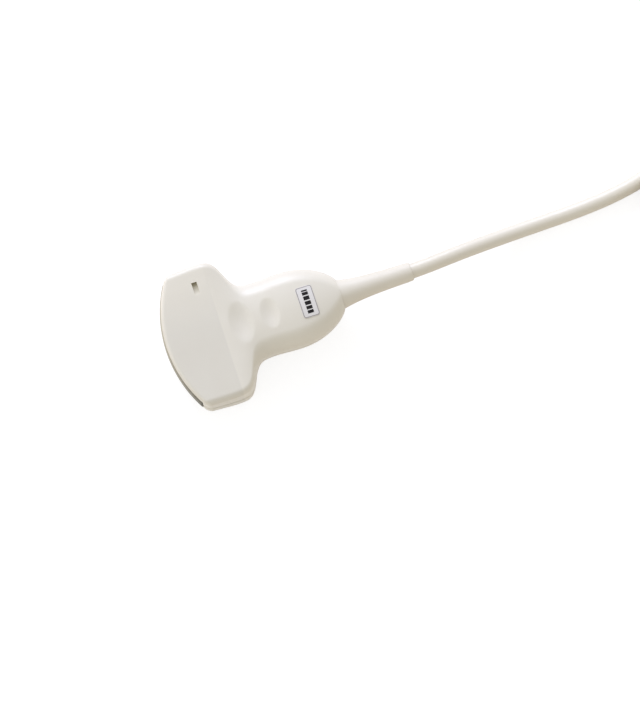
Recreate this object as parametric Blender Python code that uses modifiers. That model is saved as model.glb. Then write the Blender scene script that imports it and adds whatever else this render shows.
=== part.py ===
"""Ultrasound transducer probe: a curved-face hand piece on its cable, lying on its back.

The hand piece is drawn in its own frame. Its station s runs along +X from the crown of the
housing's curved face to the cable, y runs across and z up from the front face's side of the axis.
One empty carries that frame and another carries the plug's. All lengths are in metres.
"""
import math

import bmesh
import bpy
from mathutils import Matrix, Vector

# General clearances and facets
GAP = 0.0003                    # between pieces that touch
ROUND_SIDES = 20                # sides of a turned piece
SCREW_SIDES = 10

# Housing outline, seen from the front face
FACE_RADIUS = 0.0615            # curved front edge
FACE_HALF_WIDTH = 0.0340        # where the curved edge meets the side
HEAD_HALF_WIDTH = 0.0344
HEAD_WIDEST_S = 0.0240
SHOULDER_S = 0.0370             # middle of the shoulder between head and neck
SHOULDER_SOFTNESS = 0.00195
NECK_HALF_WIDTH = 0.0185
NECK_S = 0.0500
GRIP_HALF_WIDTH = 0.0190
GRIP_S = 0.0632                 # widest place of the grip, where the rounded end starts
END_ROUND_LENGTH = 0.0282       # of the ellipse that the rounded end follows
END_S = 0.0888                  # the housing's rear opening

# Housing depth, each side of the seam
FACE_HALF_DEPTH = 0.0096
CREASE_S = 0.0285               # straight ridge where the flat head facet ends
CREASE_HALF_DEPTH = 0.0130
WAIST_S = 0.0450
WAIST_HALF_DEPTH = 0.0124
BELLY_S = 0.0620
BELLY_HALF_DEPTH = 0.0130
BELLY_ROUND_LENGTH = 0.0340

# Housing edges and wall
WALL = 0.0020
RIM_ROUND = 0.0022              # rounding between the facets and the curved face
HEAD_EDGE = 0.0032              # rounding between facet and side
GRIP_EDGE_ACROSS = 0.0080
GRIP_EDGE_DEEP = 0.0095
SIDE_FLAT = 0.0010              # straight wall beside the seam
GRIP_CROWN = 0.10               # share by which the grip's face falls away at its side

# Finger dimples on both faces: station, half length, half width, depth
DIMPLES = (
    (0.0384, 0.0062, 0.0108, 0.0014),
    (0.0530, 0.0048, 0.0080, 0.0011),
)
DIMPLE_FALL = 1.4

# Orientation recess in the front face, a wedge that is deepest at its outer end
MARK_S = 0.0224
MARK_Y = 0.0228
MARK_LENGTH = 0.0062
MARK_WIDTH = 0.0029
MARK_DEPTH = 0.0014

# Grid of the housing's skin
FACET_ROWS = 3
ROUND_ROWS = 3
BODY_ROWS = 29
TOP_COLUMNS = 8
EDGE_COLUMNS = 4
TOP_SHARE = 0.50                # share of the half section that its flat face takes
EDGE_SHARE = 0.42               # share that each rounded edge takes

# Lens and the stack behind it, all arcs about one centre
LENS_PROUD = 0.0008
LENS_HALF_HEIGHT = 0.0066
LENS_HALF_LENGTH = 0.0305
LENS_THICKNESS = 0.0033
LENS_CROWN = 0.0004
MATCHING_THICKNESS = 0.0006
PIEZO_THICKNESS = 0.0012
PIEZO_WEB = 0.0004              # left uncut under the saw cuts
ELEMENT_COUNT = 32
SAW_CUT = 0.0004
BACKING_THICKNESS = 0.0095
CARRIER_THICKNESS = 0.0022
STACK_HALF_HEIGHT = 0.0062
STACK_HALF_ANGLE = math.radians(27.5)
CARRIER_END_MARGIN = 0.0008     # of the arc, past the outer side of its ears
ARC_STEPS = 16
EAR_WIDTH = 0.0070
EAR_THICKNESS = 0.0016
EAR_END_S = 0.0310
EAR_Y = 0.0188
CARRIER_SCREW_S = 0.0275

# Board and what sits on it
BOARD_START_S = 0.0370
BOARD_END_S = 0.0670
BOARD_HALF_WIDTH = 0.0135
BOARD_THICKNESS = 0.0016
BOARD_SCREW_S = 0.0605
BOARD_SCREW_Y = 0.0105
SOCKET_SIZE = (0.0050, 0.0220, 0.0022)
SOCKET_S = 0.0407
CHIP_SIZE = (0.0060, 0.0080, 0.0012)
CHIP_S = 0.0500
CHIP_EDGE = 0.0002
MOULDED_EDGE = 0.0003           # of the sockets and the comb
CAN_SIZE = (0.0100, 0.0150, 0.0032)
CAN_WALL = 0.0003
CAN_CORNER = 0.0008
COMB_SIZE = (0.0034, 0.0140, 0.0014)
COMB_S = 0.0644
FLEX_THICKNESS = 0.0003
FLEX_FRONT_HALF_WIDTH = 0.0235
FLEX_END_HALF_WIDTH = 0.0100
FLEX_ROWS = 12

# Small screws and their bosses
SCREW_RADIUS = 0.0009
SCREW_HEAD_RADIUS = 0.0018
SCREW_HEAD_HEIGHT = 0.0013
SCREW_LENGTH = 0.0060
SCREW_SOCKET_RADIUS = 0.0008
SCREW_SOCKET_DEPTH = 0.0007
BOSS_RADIUS = 0.0026
BOSS_BORE_DEPTH = 0.0072

# Cable, ferrule and strain relief
CABLE_DIAMETER = 0.0076
CABLE_END_S = 0.0749            # the cable's end inside the housing
FERRULE_START_S = 0.0746
FERRULE_END_S = 0.0790
FERRULE_WALL = 0.0008
FERRULE_LIP = 0.0006
LOOM_END_RADIUS = 0.0026
LOOM_THICKNESS = 0.0010
LOOM_ROWS = 6
LOOM_SIDES = 12
BOOT_FOOT_S = 0.0795
BOOT_FOOT_THICKNESS = 0.0028
BOOT_FOOT_RADIUS = 0.0079
BOOT_NECK_RADIUS = 0.0057
BOOT_BASE_RADIUS = 0.0074
BOOT_END_RADIUS = 0.0046
BOOT_FLARE = 0.0120             # length over which the flare falls to a third
BOOT_END_S = 0.1256
BOOT_RIM = 0.0003
BOOT_ROWS = 8

# Label on the front face
LABEL_S = 0.0720
LABEL_Y = -0.0005
LABEL_LENGTH = 0.0155           # across the grip
LABEL_WIDTH = 0.0082
LABEL_THICKNESS = 0.0003
LABEL_ROWS = 4
LABEL_COLUMNS = 6

# The hand piece's own frame in the world: on its back, centred over the origin
ORIGIN_S = (BOOT_END_S - LENS_PROUD) / 2
AXIS_HEIGHT = max(CREASE_HALF_DEPTH, BELLY_HALF_DEPTH)

# The cable's route on the surface, its coil and its tail, in the world
CABLE_SIDES_RESOLUTION = 2
CABLE_STEP = 0.0155
LEAD_ROUTE = (
    (0.0635, 0.0, 0.0130),
    (0.0720, 0.0003, 0.0129),
    (0.0810, 0.0010, 0.0122),
    (0.0900, 0.0018, 0.0108),
    (0.1000, 0.0026, 0.0087),
    (0.1100, 0.0033, 0.0066),
    (0.1200, 0.0039, 0.0049),
    (0.1320, 0.0043, 0.0040),
    (0.1440, 0.0046, 0.0038),
    (0.1553, 0.0051, 0.0038),
    (0.1672, 0.0061, 0.0038),
    (0.1788, 0.0079, 0.0038),
    (0.1893, 0.0110, 0.0039),
)
TAIL_ROUTE = (
    (0.2629, 0.0273, 0.0071),
    (0.2713, 0.0265, 0.0057),
    (0.2782, 0.0256, 0.0048),
    (0.2847, 0.0233, 0.0044),
    (0.2906, 0.0198, 0.0046),
    (0.2958, 0.0152, 0.0054),
    (0.2998, 0.0096, 0.0067),
    (0.3026, 0.0032, 0.0079),
    (0.3042, -0.0030, 0.0089),
    (0.3043, -0.0082, 0.0090),
)
COIL_CENTRE = (0.2328, -0.0176)
COIL_RADIUS = 0.0392            # to the middle of the turns
COIL_BUNDLE_RADIUS = 0.0090     # to the middle of the turns, about the bundle's own middle
COIL_STEPS = 32
COIL_SIDES = 12
TIE_THICKNESS = 0.0007
TIE_WIDTH = 0.0080
TIE_BEARING = math.radians(205)

# Plug at the far end, drawn along +X in its own frame from the cable's entry
PLUG_PLACE = (0.3043, -0.0090)
PLUG_BEARING = math.radians(-90)
HOOD_START = 0.0200
HOOD_LENGTH = 0.0342
HOOD_HALF_WIDTH = 0.0175
HOOD_HALF_HEIGHT = 0.0090
HOOD_WALL = 0.0020
HOOD_CORNER = 0.0040
HOOD_EDGE = 0.0012
HOOD_SCREW_X = 0.0310
HOOD_SCREW_Y = 0.0114
HOOD_BOSS_RADIUS = 0.0040
HOOD_SCREW_RADIUS = 0.0014
HOOD_SCREW_HEAD_RADIUS = 0.0026
HOOD_SCREW_HEAD_HEIGHT = 0.0014
HOOD_SCREW_LENGTH = 0.0110
SHELL_HALF_WIDTH = 0.0136
SHELL_HALF_HEIGHT = 0.0049
SHELL_WALL = 0.0008
SHELL_FLANGE = 0.0016
SHELL_FLANGE_THICKNESS = 0.0014
SHELL_PROUD = 0.0060
INSULATOR_SETBACK = 0.0010
CONTACT_COLUMNS = 7
CONTACT_PITCH = 0.0034
CONTACT_ROW_HALF_PITCH = 0.0018
CONTACT_RADIUS = 0.0008
CONTACT_DEPTH = 0.0050
CONTACT_SIDES = 6
PLUG_BOOT_END_RADIUS = 0.0047
PLUG_BOOT_BASE_RADIUS = 0.0064
PLUG_BOOT_NECK_RADIUS = 0.0051
PLUG_BOOT_FOOT_THICKNESS = 0.0026


def clear_scene():
    for thing in list(bpy.data.objects):
        bpy.data.objects.remove(thing, do_unlink=True)
    for group in list(bpy.data.collections):
        bpy.data.collections.remove(group)


def new_collection(name):
    group = bpy.data.collections.new(name)
    bpy.context.scene.collection.children.link(group)
    return group


def new_material(name, colour, roughness, metallic=0.0):
    material = bpy.data.materials.new(name)
    material.use_nodes = True
    shader = material.node_tree.nodes["Principled BSDF"]
    shader.inputs["Base Color"].default_value = (*colour, 1.0)
    shader.inputs["Roughness"].default_value = roughness
    shader.inputs["Metallic"].default_value = metallic
    return material


clear_scene()
PROBE = new_collection("ultrasound_transducer_probe")
CUTTERS = new_collection("cutters")


def new_frame(name, place, bearing=0.0):
    """An empty that carries one drawing frame"""
    frame = bpy.data.objects.new(name, None)
    frame.location = place
    frame.rotation_euler = (0.0, 0.0, bearing)
    PROBE.objects.link(frame)
    return frame


def object_from(name, data, material, frame=None, place=(0.0, 0.0, 0.0)):
    thing = bpy.data.objects.new(name, data)
    thing.location = place
    thing.parent = frame
    data.materials.append(material)
    PROBE.objects.link(thing)
    return thing


def mesh_from(name, bm, smooth=False):
    bmesh.ops.recalc_face_normals(bm, faces=bm.faces)
    mesh = bpy.data.meshes.new(name)
    bm.to_mesh(mesh)
    bm.free()
    if smooth:
        mesh.shade_smooth()
        mesh.set_sharp_from_angle(angle=math.radians(35))
    return mesh


def blend(start, end, share):
    return start + (end - start) * share


def ease(value, start, end):
    """0 before start, 1 after end and a smooth step between"""
    share = min(max((value - start) / (end - start), 0.0), 1.0)
    return share * share * (3.0 - 2.0 * share)


# Form of the housing's skin

def sag(y):
    """How far the curved face lies behind its crown at y"""
    return FACE_RADIUS - math.sqrt(FACE_RADIUS ** 2 - y * y)


def shoulder(s):
    """1 in the head and 0 in the grip, with the S curve of the shoulder between"""
    return 1.0 / (1.0 + math.exp((s - SHOULDER_S) / SHOULDER_SOFTNESS))


def rounded_end(s, start, length):
    """Share of the full size that is left at s, on an ellipse that starts at start"""
    share = min(max((s - start) / length, 0.0), 1.0)
    return math.sqrt(1.0 - share * share)


def half_width(s):
    face_s = sag(FACE_HALF_WIDTH)
    head = blend(FACE_HALF_WIDTH, HEAD_HALF_WIDTH, ease(s, face_s, HEAD_WIDEST_S))
    grip = blend(NECK_HALF_WIDTH, GRIP_HALF_WIDTH, ease(s, NECK_S, GRIP_S))
    return blend(grip, head, shoulder(s)) * rounded_end(s, GRIP_S, END_ROUND_LENGTH)


def half_depth(s):
    if s < CREASE_S:
        return blend(FACE_HALF_DEPTH, CREASE_HALF_DEPTH, s / CREASE_S)
    if s < WAIST_S:
        return blend(CREASE_HALF_DEPTH, WAIST_HALF_DEPTH, ease(s, CREASE_S, WAIST_S))
    belly = blend(WAIST_HALF_DEPTH, BELLY_HALF_DEPTH, ease(s, WAIST_S, BELLY_S))
    return belly * rounded_end(s, BELLY_S, BELLY_ROUND_LENGTH)


def dimple_depth(s, y):
    depth = 0.0
    for centre, half_length, half_across, deepest in DIMPLES:
        reach = ((s - centre) / half_length) ** 2 + (y / half_across) ** 2
        if reach < 1.0:
            depth += deepest * (1.0 - reach) ** DIMPLE_FALL
    return depth


def half_section(across, width, depth, edge_across, edge_deep, crown):
    """Point (y, z) of half a section. across runs from -1 at one seam to 1 at the other"""
    share = abs(across)
    if share <= TOP_SHARE:
        y = (width - edge_across) * share / TOP_SHARE
        z = depth
    elif share <= TOP_SHARE + EDGE_SHARE:
        turn = (share - TOP_SHARE) / EDGE_SHARE * math.pi / 2
        y = width - edge_across + edge_across * math.sin(turn)
        z = depth - edge_deep + edge_deep * math.cos(turn)
    else:
        y = width
        rest = (share - TOP_SHARE - EDGE_SHARE) / (1.0 - TOP_SHARE - EDGE_SHARE)
        z = blend(depth - edge_deep, GAP / 2, rest)
    return math.copysign(y, across), z * (1.0 - crown * (y / width) ** 2)


def skin_point(row, across):
    """Point of the housing's outer skin. A row is (setback, straight, pull, inset): its points
    lie setback behind the curved face, pulled by pull to the straight line at s = straight"""
    setback, straight, pull, inset = row
    side_s = blend(sag(FACE_HALF_WIDTH) + setback, straight, pull)
    head = shoulder(side_s)
    width = half_width(side_s) - inset
    edge_across = min(blend(GRIP_EDGE_ACROSS, HEAD_EDGE, head) - inset, width)
    y = half_section(across, width, 1.0, edge_across, 0.0, 0.0)[0]
    s = blend(sag(y) + setback, straight, pull)
    depth = half_depth(s) - inset
    edge_deep = min(blend(GRIP_EDGE_DEEP, HEAD_EDGE, head) - inset, depth - SIDE_FLAT)
    crown = GRIP_CROWN * ease(s, CREASE_S, WAIST_S)
    z = half_section(across, width, depth, edge_across, edge_deep, crown)[1]
    return Vector((s, y, z - dimple_depth(s, y)))


def skin_depth(s, y):
    """Half depth of the skin at s and y, on its broad face or on the rounded edge"""
    edge = blend(GRIP_EDGE_ACROSS, HEAD_EDGE, shoulder(s))
    flat = half_width(s) - edge
    if abs(y) <= flat:
        across = TOP_SHARE * abs(y) / flat
    else:
        across = TOP_SHARE + EDGE_SHARE * math.asin((abs(y) - flat) / edge) / (math.pi / 2)
    return skin_point((0.0, s, 1.0, 0.0), across).z


def opening_point(across):
    """Point of the edge of the lens's opening in the curved face"""
    length = LENS_HALF_LENGTH + GAP
    height = LENS_HALF_HEIGHT + GAP
    y, z = half_section(across, length, height, LENS_CROWN, LENS_CROWN, 0.0)
    return Vector((sag(y), y, z))


def skin_rows():
    rows = []
    for step in range(ROUND_ROWS):
        turn = math.pi / 2 * (1.0 - step / ROUND_ROWS)
        setback = RIM_ROUND * (1.0 - math.sin(turn))
        rows.append((setback, 0.0, 0.0, RIM_ROUND * (1.0 - math.cos(turn))))
    for step in range(FACET_ROWS):
        rows.append((RIM_ROUND, CREASE_S, step / FACET_ROWS, 0.0))
    for step in range(BODY_ROWS + 1):
        rows.append((0.0, blend(CREASE_S, END_S, step / BODY_ROWS), 1.0, 0.0))
    return rows


def skin_columns():
    half = [TOP_SHARE * step / (TOP_COLUMNS / 2) for step in range(TOP_COLUMNS // 2 + 1)]
    half += [TOP_SHARE + EDGE_SHARE * (step + 1) / EDGE_COLUMNS for step in range(EDGE_COLUMNS)]
    half.append(1.0)
    return [-share for share in reversed(half[1:])] + half


def loft(rows, closed=False, caps=False):
    """A skin of quads through rows of points, as a bmesh"""
    bm = bmesh.new()
    rings = [[bm.verts.new(point) for point in row] for row in rows]
    count = len(rings[0])
    for ring, following in zip(rings, rings[1:]):
        for index in range(count if closed else count - 1):
            after = (index + 1) % count
            bm.faces.new((ring[index], ring[after], following[after], following[index]))
    if caps:
        bm.faces.new(rings[0])
        bm.faces.new(rings[-1])
    return bm


def housing_skin(side):
    """The open outer skin of one housing half, with side 1 for the front and -1 for the back"""
    columns = skin_columns()
    rows = [[opening_point(across) for across in columns]]
    rows += [[skin_point(row, across) for across in columns] for row in skin_rows()]
    bm = loft([[Vector((p.x, p.y, side * p.z)) for p in row] for row in rows])
    if side > 0:
        bmesh.ops.reverse_faces(bm, faces=bm.faces)
    return bm


def solidify(thing, thickness, offset=-1.0):
    modifier = thing.modifiers.new("Wall", "SOLIDIFY")
    modifier.thickness = thickness
    modifier.offset = offset
    modifier.use_even_offset = True
    return modifier


def bevel(thing, width, segments=2, angle=math.radians(40)):
    modifier = thing.modifiers.new("Edges", "BEVEL")
    modifier.width = width
    modifier.segments = segments
    modifier.limit_method = "ANGLE"
    modifier.angle_limit = angle
    return modifier


def boolean(thing, cutter, operation="DIFFERENCE"):
    modifier = thing.modifiers.new(cutter.name, "BOOLEAN")
    modifier.operation = operation
    modifier.object = cutter
    return modifier


def as_cutter(thing):
    PROBE.objects.unlink(thing)
    CUTTERS.objects.link(thing)
    thing.hide_render = True
    thing.display_type = "WIRE"
    return thing


# Plain solids, each drawn about its own middle or along its own axis

def box_mesh(name, size):
    bm = bmesh.new()
    bmesh.ops.create_cube(bm, size=1.0)
    bmesh.ops.scale(bm, vec=size, verts=bm.verts)
    return mesh_from(name, bm)


def rod_mesh(name, radius, start, end, sides=ROUND_SIDES, axis="Z"):
    """A rod along the axis from start to end"""
    bm = bmesh.new()
    bmesh.ops.create_cone(bm, cap_ends=True, segments=sides, radius1=radius, radius2=radius,
                          depth=end - start)
    bmesh.ops.translate(bm, vec=(0.0, 0.0, (start + end) / 2), verts=bm.verts)
    if axis == "X":
        lay_along_x(bm)
    return mesh_from(name, bm, smooth=True)


def lay_along_x(bm):
    """Turns a form drawn along +Z so that it runs along +X"""
    bmesh.ops.rotate(bm, matrix=Matrix.Rotation(math.pi / 2, 3, "Y"), verts=bm.verts)


def running_down_outside(profile):
    """The profile in the order that turns into a solid whose faces point out"""
    following = profile[1:] + profile[:1]
    area = sum(a[0] * b[1] - b[0] * a[1] for a, b in zip(profile, following))
    return list(reversed(profile)) if area > 0 else list(profile)


def turned(name, profile, material, frame, place=(0.0, 0.0, 0.0), sides=ROUND_SIDES, along_x=True):
    """A solid of revolution from a closed profile of (radius, distance along the axis)"""
    profile = running_down_outside(profile)
    mesh = bpy.data.meshes.new(name)
    points = [(radius, 0.0, along) for radius, along in profile]
    edges = [(index, (index + 1) % len(points)) for index in range(len(points))]
    if profile[0][0] == 0.0:
        edges.pop()
    mesh.from_pydata(points, edges, [])
    thing = object_from(name, mesh, material, frame, place)
    screw = thing.modifiers.new("Turn", "SCREW")
    screw.axis = "Z"
    screw.steps = sides
    screw.render_steps = sides
    screw.use_merge_vertices = True
    screw.merge_threshold = 0.00001
    screw.use_smooth_shade = True
    if along_x:
        thing.rotation_euler = (0.0, math.pi / 2, 0.0)
    return thing


def arc_solid(name, profile, half_angle, material, frame):
    """A profile of (radius, z) swept about the array's centre of curvature"""
    rows = []
    for step in range(ARC_STEPS + 1):
        angle = blend(-half_angle, half_angle, step / ARC_STEPS)
        rows.append([Vector((FACE_RADIUS - radius * math.cos(angle), radius * math.sin(angle), z))
                     for radius, z in profile])
    mesh = mesh_from(name, loft(rows, closed=True, caps=True), smooth=True)
    return object_from(name, mesh, material, frame)


def flat_plate(name, outlines, half_thickness, material, frame, place=(0.0, 0.0, 0.0)):
    """A flat plate in the XY plane from outlines, the first its edge and the others its holes"""
    curve = bpy.data.curves.new(name, "CURVE")
    curve.dimensions = "2D"
    curve.fill_mode = "BOTH"
    curve.extrude = half_thickness
    for outline in outlines:
        spline = curve.splines.new("POLY")
        spline.points.add(len(outline) - 1)
        for point, (x, y) in zip(spline.points, outline):
            point.co = (x, y, 0.0, 1.0)
        spline.use_cyclic_u = True
    return object_from(name, curve, material, frame, place)


def circle_outline(x, y, radius, sides):
    turns = [2 * math.pi * step / sides for step in range(sides)]
    return [(x + radius * math.cos(turn), y + radius * math.sin(turn)) for turn in turns]


def screw_solid(name, material, frame, place, sizes):
    """A pan-head screw with a round drive socket, its head's seat at place"""
    radius, head_radius, head_height, length = sizes
    profile = [
        (0.0, -length),
        (radius * 0.6, -length),
        (radius, -length + radius),
        (radius, 0.0),
        (head_radius, 0.0),
        (head_radius, head_height * 0.6),
        (head_radius * 0.75, head_height),
        (SCREW_SOCKET_RADIUS, head_height),
        (SCREW_SOCKET_RADIUS, head_height - SCREW_SOCKET_DEPTH),
        (0.0, head_height - SCREW_SOCKET_DEPTH),
    ]
    return turned(name, profile, material, frame, place, sides=SCREW_SIDES, along_x=False)


SMALL_SCREW = (SCREW_RADIUS, SCREW_HEAD_RADIUS, SCREW_HEAD_HEIGHT, SCREW_LENGTH)
HOOD_SCREW = (HOOD_SCREW_RADIUS, HOOD_SCREW_HEAD_RADIUS, HOOD_SCREW_HEAD_HEIGHT,
              HOOD_SCREW_LENGTH)

CREAM = new_material("cream_plastic", (0.76, 0.74, 0.68), 0.42)
LENS_RUBBER = new_material("lens_rubber", (0.17, 0.16, 0.12), 0.45)
LABEL_FILM = new_material("label_film", (0.74, 0.74, 0.77), 0.35)
BOOT_RUBBER = new_material("boot_rubber", (0.80, 0.77, 0.70), 0.50)
CABLE_JACKET = new_material("cable_jacket", (0.80, 0.77, 0.71), 0.48)
MATCHING_FILM = new_material("matching_film", (0.22, 0.20, 0.16), 0.60)
CERAMIC = new_material("piezo_ceramic", (0.55, 0.50, 0.38), 0.55)
BACKING_EPOXY = new_material("backing_epoxy", (0.05, 0.05, 0.05), 0.70)
ALUMINIUM = new_material("aluminium", (0.70, 0.71, 0.72), 0.35, 1.0)
STEEL = new_material("steel", (0.62, 0.62, 0.62), 0.30, 1.0)
POLYIMIDE = new_material("polyimide_flex", (0.55, 0.27, 0.05), 0.40)
BOARD_LAMINATE = new_material("board_laminate", (0.03, 0.20, 0.08), 0.45)
BLACK_PLASTIC = new_material("black_plastic", (0.03, 0.03, 0.03), 0.50)
TINNED_STEEL = new_material("tinned_steel", (0.66, 0.66, 0.64), 0.32, 1.0)
WIRE_BUNDLE = new_material("wire_bundle", (0.35, 0.33, 0.40), 0.55)
BRASS = new_material("brass", (0.78, 0.60, 0.28), 0.35, 1.0)
GREY_PLASTIC = new_material("grey_plastic", (0.30, 0.30, 0.29), 0.50)
STRAP_FABRIC = new_material("strap_fabric", (0.05, 0.05, 0.05), 0.85)

HAND_PIECE = new_frame("hand_piece_frame", (-ORIGIN_S, 0.0, AXIS_HEIGHT))


# Housing

def screw_boss(name, s, y, top):
    """A boss that stands on the back half's wall and is bored for a small screw"""
    floor = WALL / 2 - skin_depth(s, abs(y) + BOSS_RADIUS)
    post = object_from(name, rod_mesh(name, BOSS_RADIUS, floor, top, sides=12), CREAM,
                       HAND_PIECE, (s, y, 0.0))
    bore_mesh = rod_mesh(name + "_bore", SCREW_RADIUS + GAP, top - BOSS_BORE_DEPTH, top + WALL,
                         sides=SCREW_SIDES)
    bore = object_from(name + "_bore", bore_mesh, CREAM, HAND_PIECE, (s, y, 0.0))
    return as_cutter(post), as_cutter(bore)


def back_shell():
    mesh = mesh_keeping_faces("back_shell", housing_skin(-1))
    shell = object_from("back_shell", mesh, CREAM, HAND_PIECE)
    solidify(shell, WALL)
    ear_seat = -EAR_THICKNESS / 2 - GAP
    board_seat = -BOARD_THICKNESS / 2 - GAP
    seats = [("carrier_boss", CARRIER_SCREW_S, EAR_Y, ear_seat),
             ("board_boss", BOARD_SCREW_S, BOARD_SCREW_Y, board_seat)]
    for name, s, y, top in seats:
        for label, side in (("left", 1), ("right", -1)):
            post, bore = screw_boss(name + "_" + label, s, side * y, top)
            boolean(shell, post, "UNION")
            boolean(shell, bore)
    return shell


def mark_cutter():
    """A wedge whose floor rises from the recess's outer end to the facet at its inner end"""
    slope = (CREASE_HALF_DEPTH - FACE_HALF_DEPTH) / CREASE_S
    rows = []
    for end, depth in ((-1, 0.0), (1, MARK_DEPTH)):
        y = MARK_Y + end * MARK_LENGTH / 2
        row = []
        for along, lift in ((-1, 1), (1, 1), (1, 0), (-1, 0)):
            s = MARK_S + along * MARK_WIDTH / 2
            surface = FACE_HALF_DEPTH + slope * s
            row.append(Vector((s, y, surface + (MARK_DEPTH if lift else -depth))))
        rows.append(row)
    mesh = mesh_from("mark_cutter", loft(rows, closed=True, caps=True))
    return as_cutter(object_from("mark_cutter", mesh, CREAM, HAND_PIECE))


def mesh_keeping_faces(name, bm):
    """A mesh of an open skin whose faces already point out"""
    mesh = bpy.data.meshes.new(name)
    bm.to_mesh(mesh)
    bm.free()
    mesh.shade_smooth()
    mesh.set_sharp_from_angle(angle=math.radians(35))
    return mesh


def front_shell():
    mesh = mesh_keeping_faces("front_shell", housing_skin(1))
    shell = object_from("front_shell", mesh, CREAM, HAND_PIECE)
    solidify(shell, WALL)
    boolean(shell, mark_cutter())
    return shell


# Lens and array stack

def stack_radii():
    """Outer and inner radius of each layer behind the curved face, from the lens inwards"""
    radii = {}
    outer = FACE_RADIUS + LENS_PROUD
    layers = (("lens", LENS_THICKNESS), ("matching_outer", MATCHING_THICKNESS),
              ("matching_inner", MATCHING_THICKNESS), ("piezo", PIEZO_THICKNESS),
              ("backing", BACKING_THICKNESS), ("carrier", CARRIER_THICKNESS))
    for name, thickness in layers:
        radii[name] = (outer, outer - thickness)
        outer -= thickness + GAP
    return radii


RADII = stack_radii()


def carrier_half_angle():
    """Of the carrier's arc, which reaches just past the outer side of its ears"""
    reach = EAR_Y + EAR_WIDTH / 2 + CARRIER_END_MARGIN
    return math.asin(reach / RADII["carrier"][0])


def slab_profile(layer, half_height=STACK_HALF_HEIGHT):
    outer, inner = RADII[layer]
    return [(outer, -half_height), (outer, half_height), (inner, half_height), (inner, -half_height)]


def acoustic_lens():
    outer, inner = RADII["lens"]
    edge = outer - LENS_PROUD
    profile = [(inner, LENS_HALF_HEIGHT), (inner, -LENS_HALF_HEIGHT), (edge, -LENS_HALF_HEIGHT)]
    for share in (-0.8, -0.4, 0.0, 0.4, 0.8):
        profile.append((outer - LENS_CROWN * share * share, LENS_HALF_HEIGHT * share))
    profile.append((edge, LENS_HALF_HEIGHT))
    half_angle = math.asin(LENS_HALF_LENGTH / FACE_RADIUS)
    return arc_solid("acoustic_lens", profile, half_angle, LENS_RUBBER, HAND_PIECE)


def piezo_array():
    """A curved ceramic bar whose saw cuts part its elements down to a thin web"""
    outer, inner = RADII["piezo"]
    web = inner + PIEZO_WEB
    half_cut = SAW_CUT / 2 / outer
    pitch = 2 * STACK_HALF_ANGLE / ELEMENT_COUNT
    edge = []
    for index in range(ELEMENT_COUNT):
        start = -STACK_HALF_ANGLE + index * pitch
        left = start + (half_cut if index > 0 else 0.0)
        right = start + pitch - (half_cut if index < ELEMENT_COUNT - 1 else 0.0)
        if index > 0:
            edge.append((web, left))
        edge += [(outer, left), (outer, right)]
        if index < ELEMENT_COUNT - 1:
            edge.append((web, right))
    for step in range(ARC_STEPS + 1):
        edge.append((inner, blend(STACK_HALF_ANGLE, -STACK_HALF_ANGLE, step / ARC_STEPS)))
    outline = [(FACE_RADIUS - radius * math.cos(angle), radius * math.sin(angle))
               for radius, angle in edge]
    return flat_plate("piezo_array", [outline], STACK_HALF_HEIGHT, CERAMIC, HAND_PIECE)


def array_carrier():
    """A metal arc behind the backing block, with an ear at each end for its screw"""
    carrier = arc_solid("array_carrier", slab_profile("carrier"), carrier_half_angle(),
                        ALUMINIUM, HAND_PIECE)
    outer, inner = RADII["carrier"]
    middle = (outer + inner) / 2
    start = FACE_RADIUS - math.sqrt(middle ** 2 - EAR_Y ** 2)
    for label, side in (("left", 1), ("right", -1)):
        y = side * EAR_Y
        size = (EAR_END_S - start, EAR_WIDTH, EAR_THICKNESS)
        ear = object_from("ear_" + label, box_mesh("ear", size), ALUMINIUM, HAND_PIECE,
                          ((start + EAR_END_S) / 2, y, 0.0))
        boolean(carrier, as_cutter(ear), "UNION")
        hole_mesh = rod_mesh("ear_hole", SCREW_RADIUS + GAP, -EAR_THICKNESS, EAR_THICKNESS,
                             sides=SCREW_SIDES)
        hole = object_from("ear_hole_" + label, hole_mesh, ALUMINIUM, HAND_PIECE,
                           (CARRIER_SCREW_S, y, 0.0))
        boolean(carrier, as_cutter(hole))
        screw_solid("carrier_screw_" + label, STEEL, HAND_PIECE,
                    (CARRIER_SCREW_S, y, EAR_THICKNESS / 2 + GAP), SMALL_SCREW)
    return carrier


def flex_circuit(name, side):
    """A thin circuit from the array's edge, over the backing block and down to its socket"""
    start_z = STACK_HALF_HEIGHT + GAP + FLEX_THICKNESS / 2
    end_z = BOARD_THICKNESS / 2 + GAP + SOCKET_SIZE[2] / 2
    start_radius = RADII["backing"][0]
    end_s = SOCKET_S - SOCKET_SIZE[0] / 2 - GAP
    block_s = FACE_RADIUS - RADII["carrier"][1] * math.cos(carrier_half_angle())
    rows = []
    for step in range(FLEX_ROWS + 1):
        share = step / FLEX_ROWS
        half = blend(FLEX_FRONT_HALF_WIDTH, FLEX_END_HALF_WIDTH, ease(share, 0.15, 0.75))
        row = []
        for across in (-1.0, -0.5, 0.0, 0.5, 1.0):
            y = half * across
            front_s = FACE_RADIUS - math.sqrt(start_radius ** 2 - y * y)
            s = blend(front_s, end_s, share)
            z = blend(start_z, end_z, ease(s, block_s, end_s - FLEX_ROWS * FLEX_THICKNESS))
            row.append(Vector((s, y, side * z)))
        rows.append(row)
    thing = object_from(name, mesh_from(name, loft(rows), smooth=True), POLYIMIDE, HAND_PIECE)
    solidify(thing, FLEX_THICKNESS, offset=0.0)
    return thing


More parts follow.
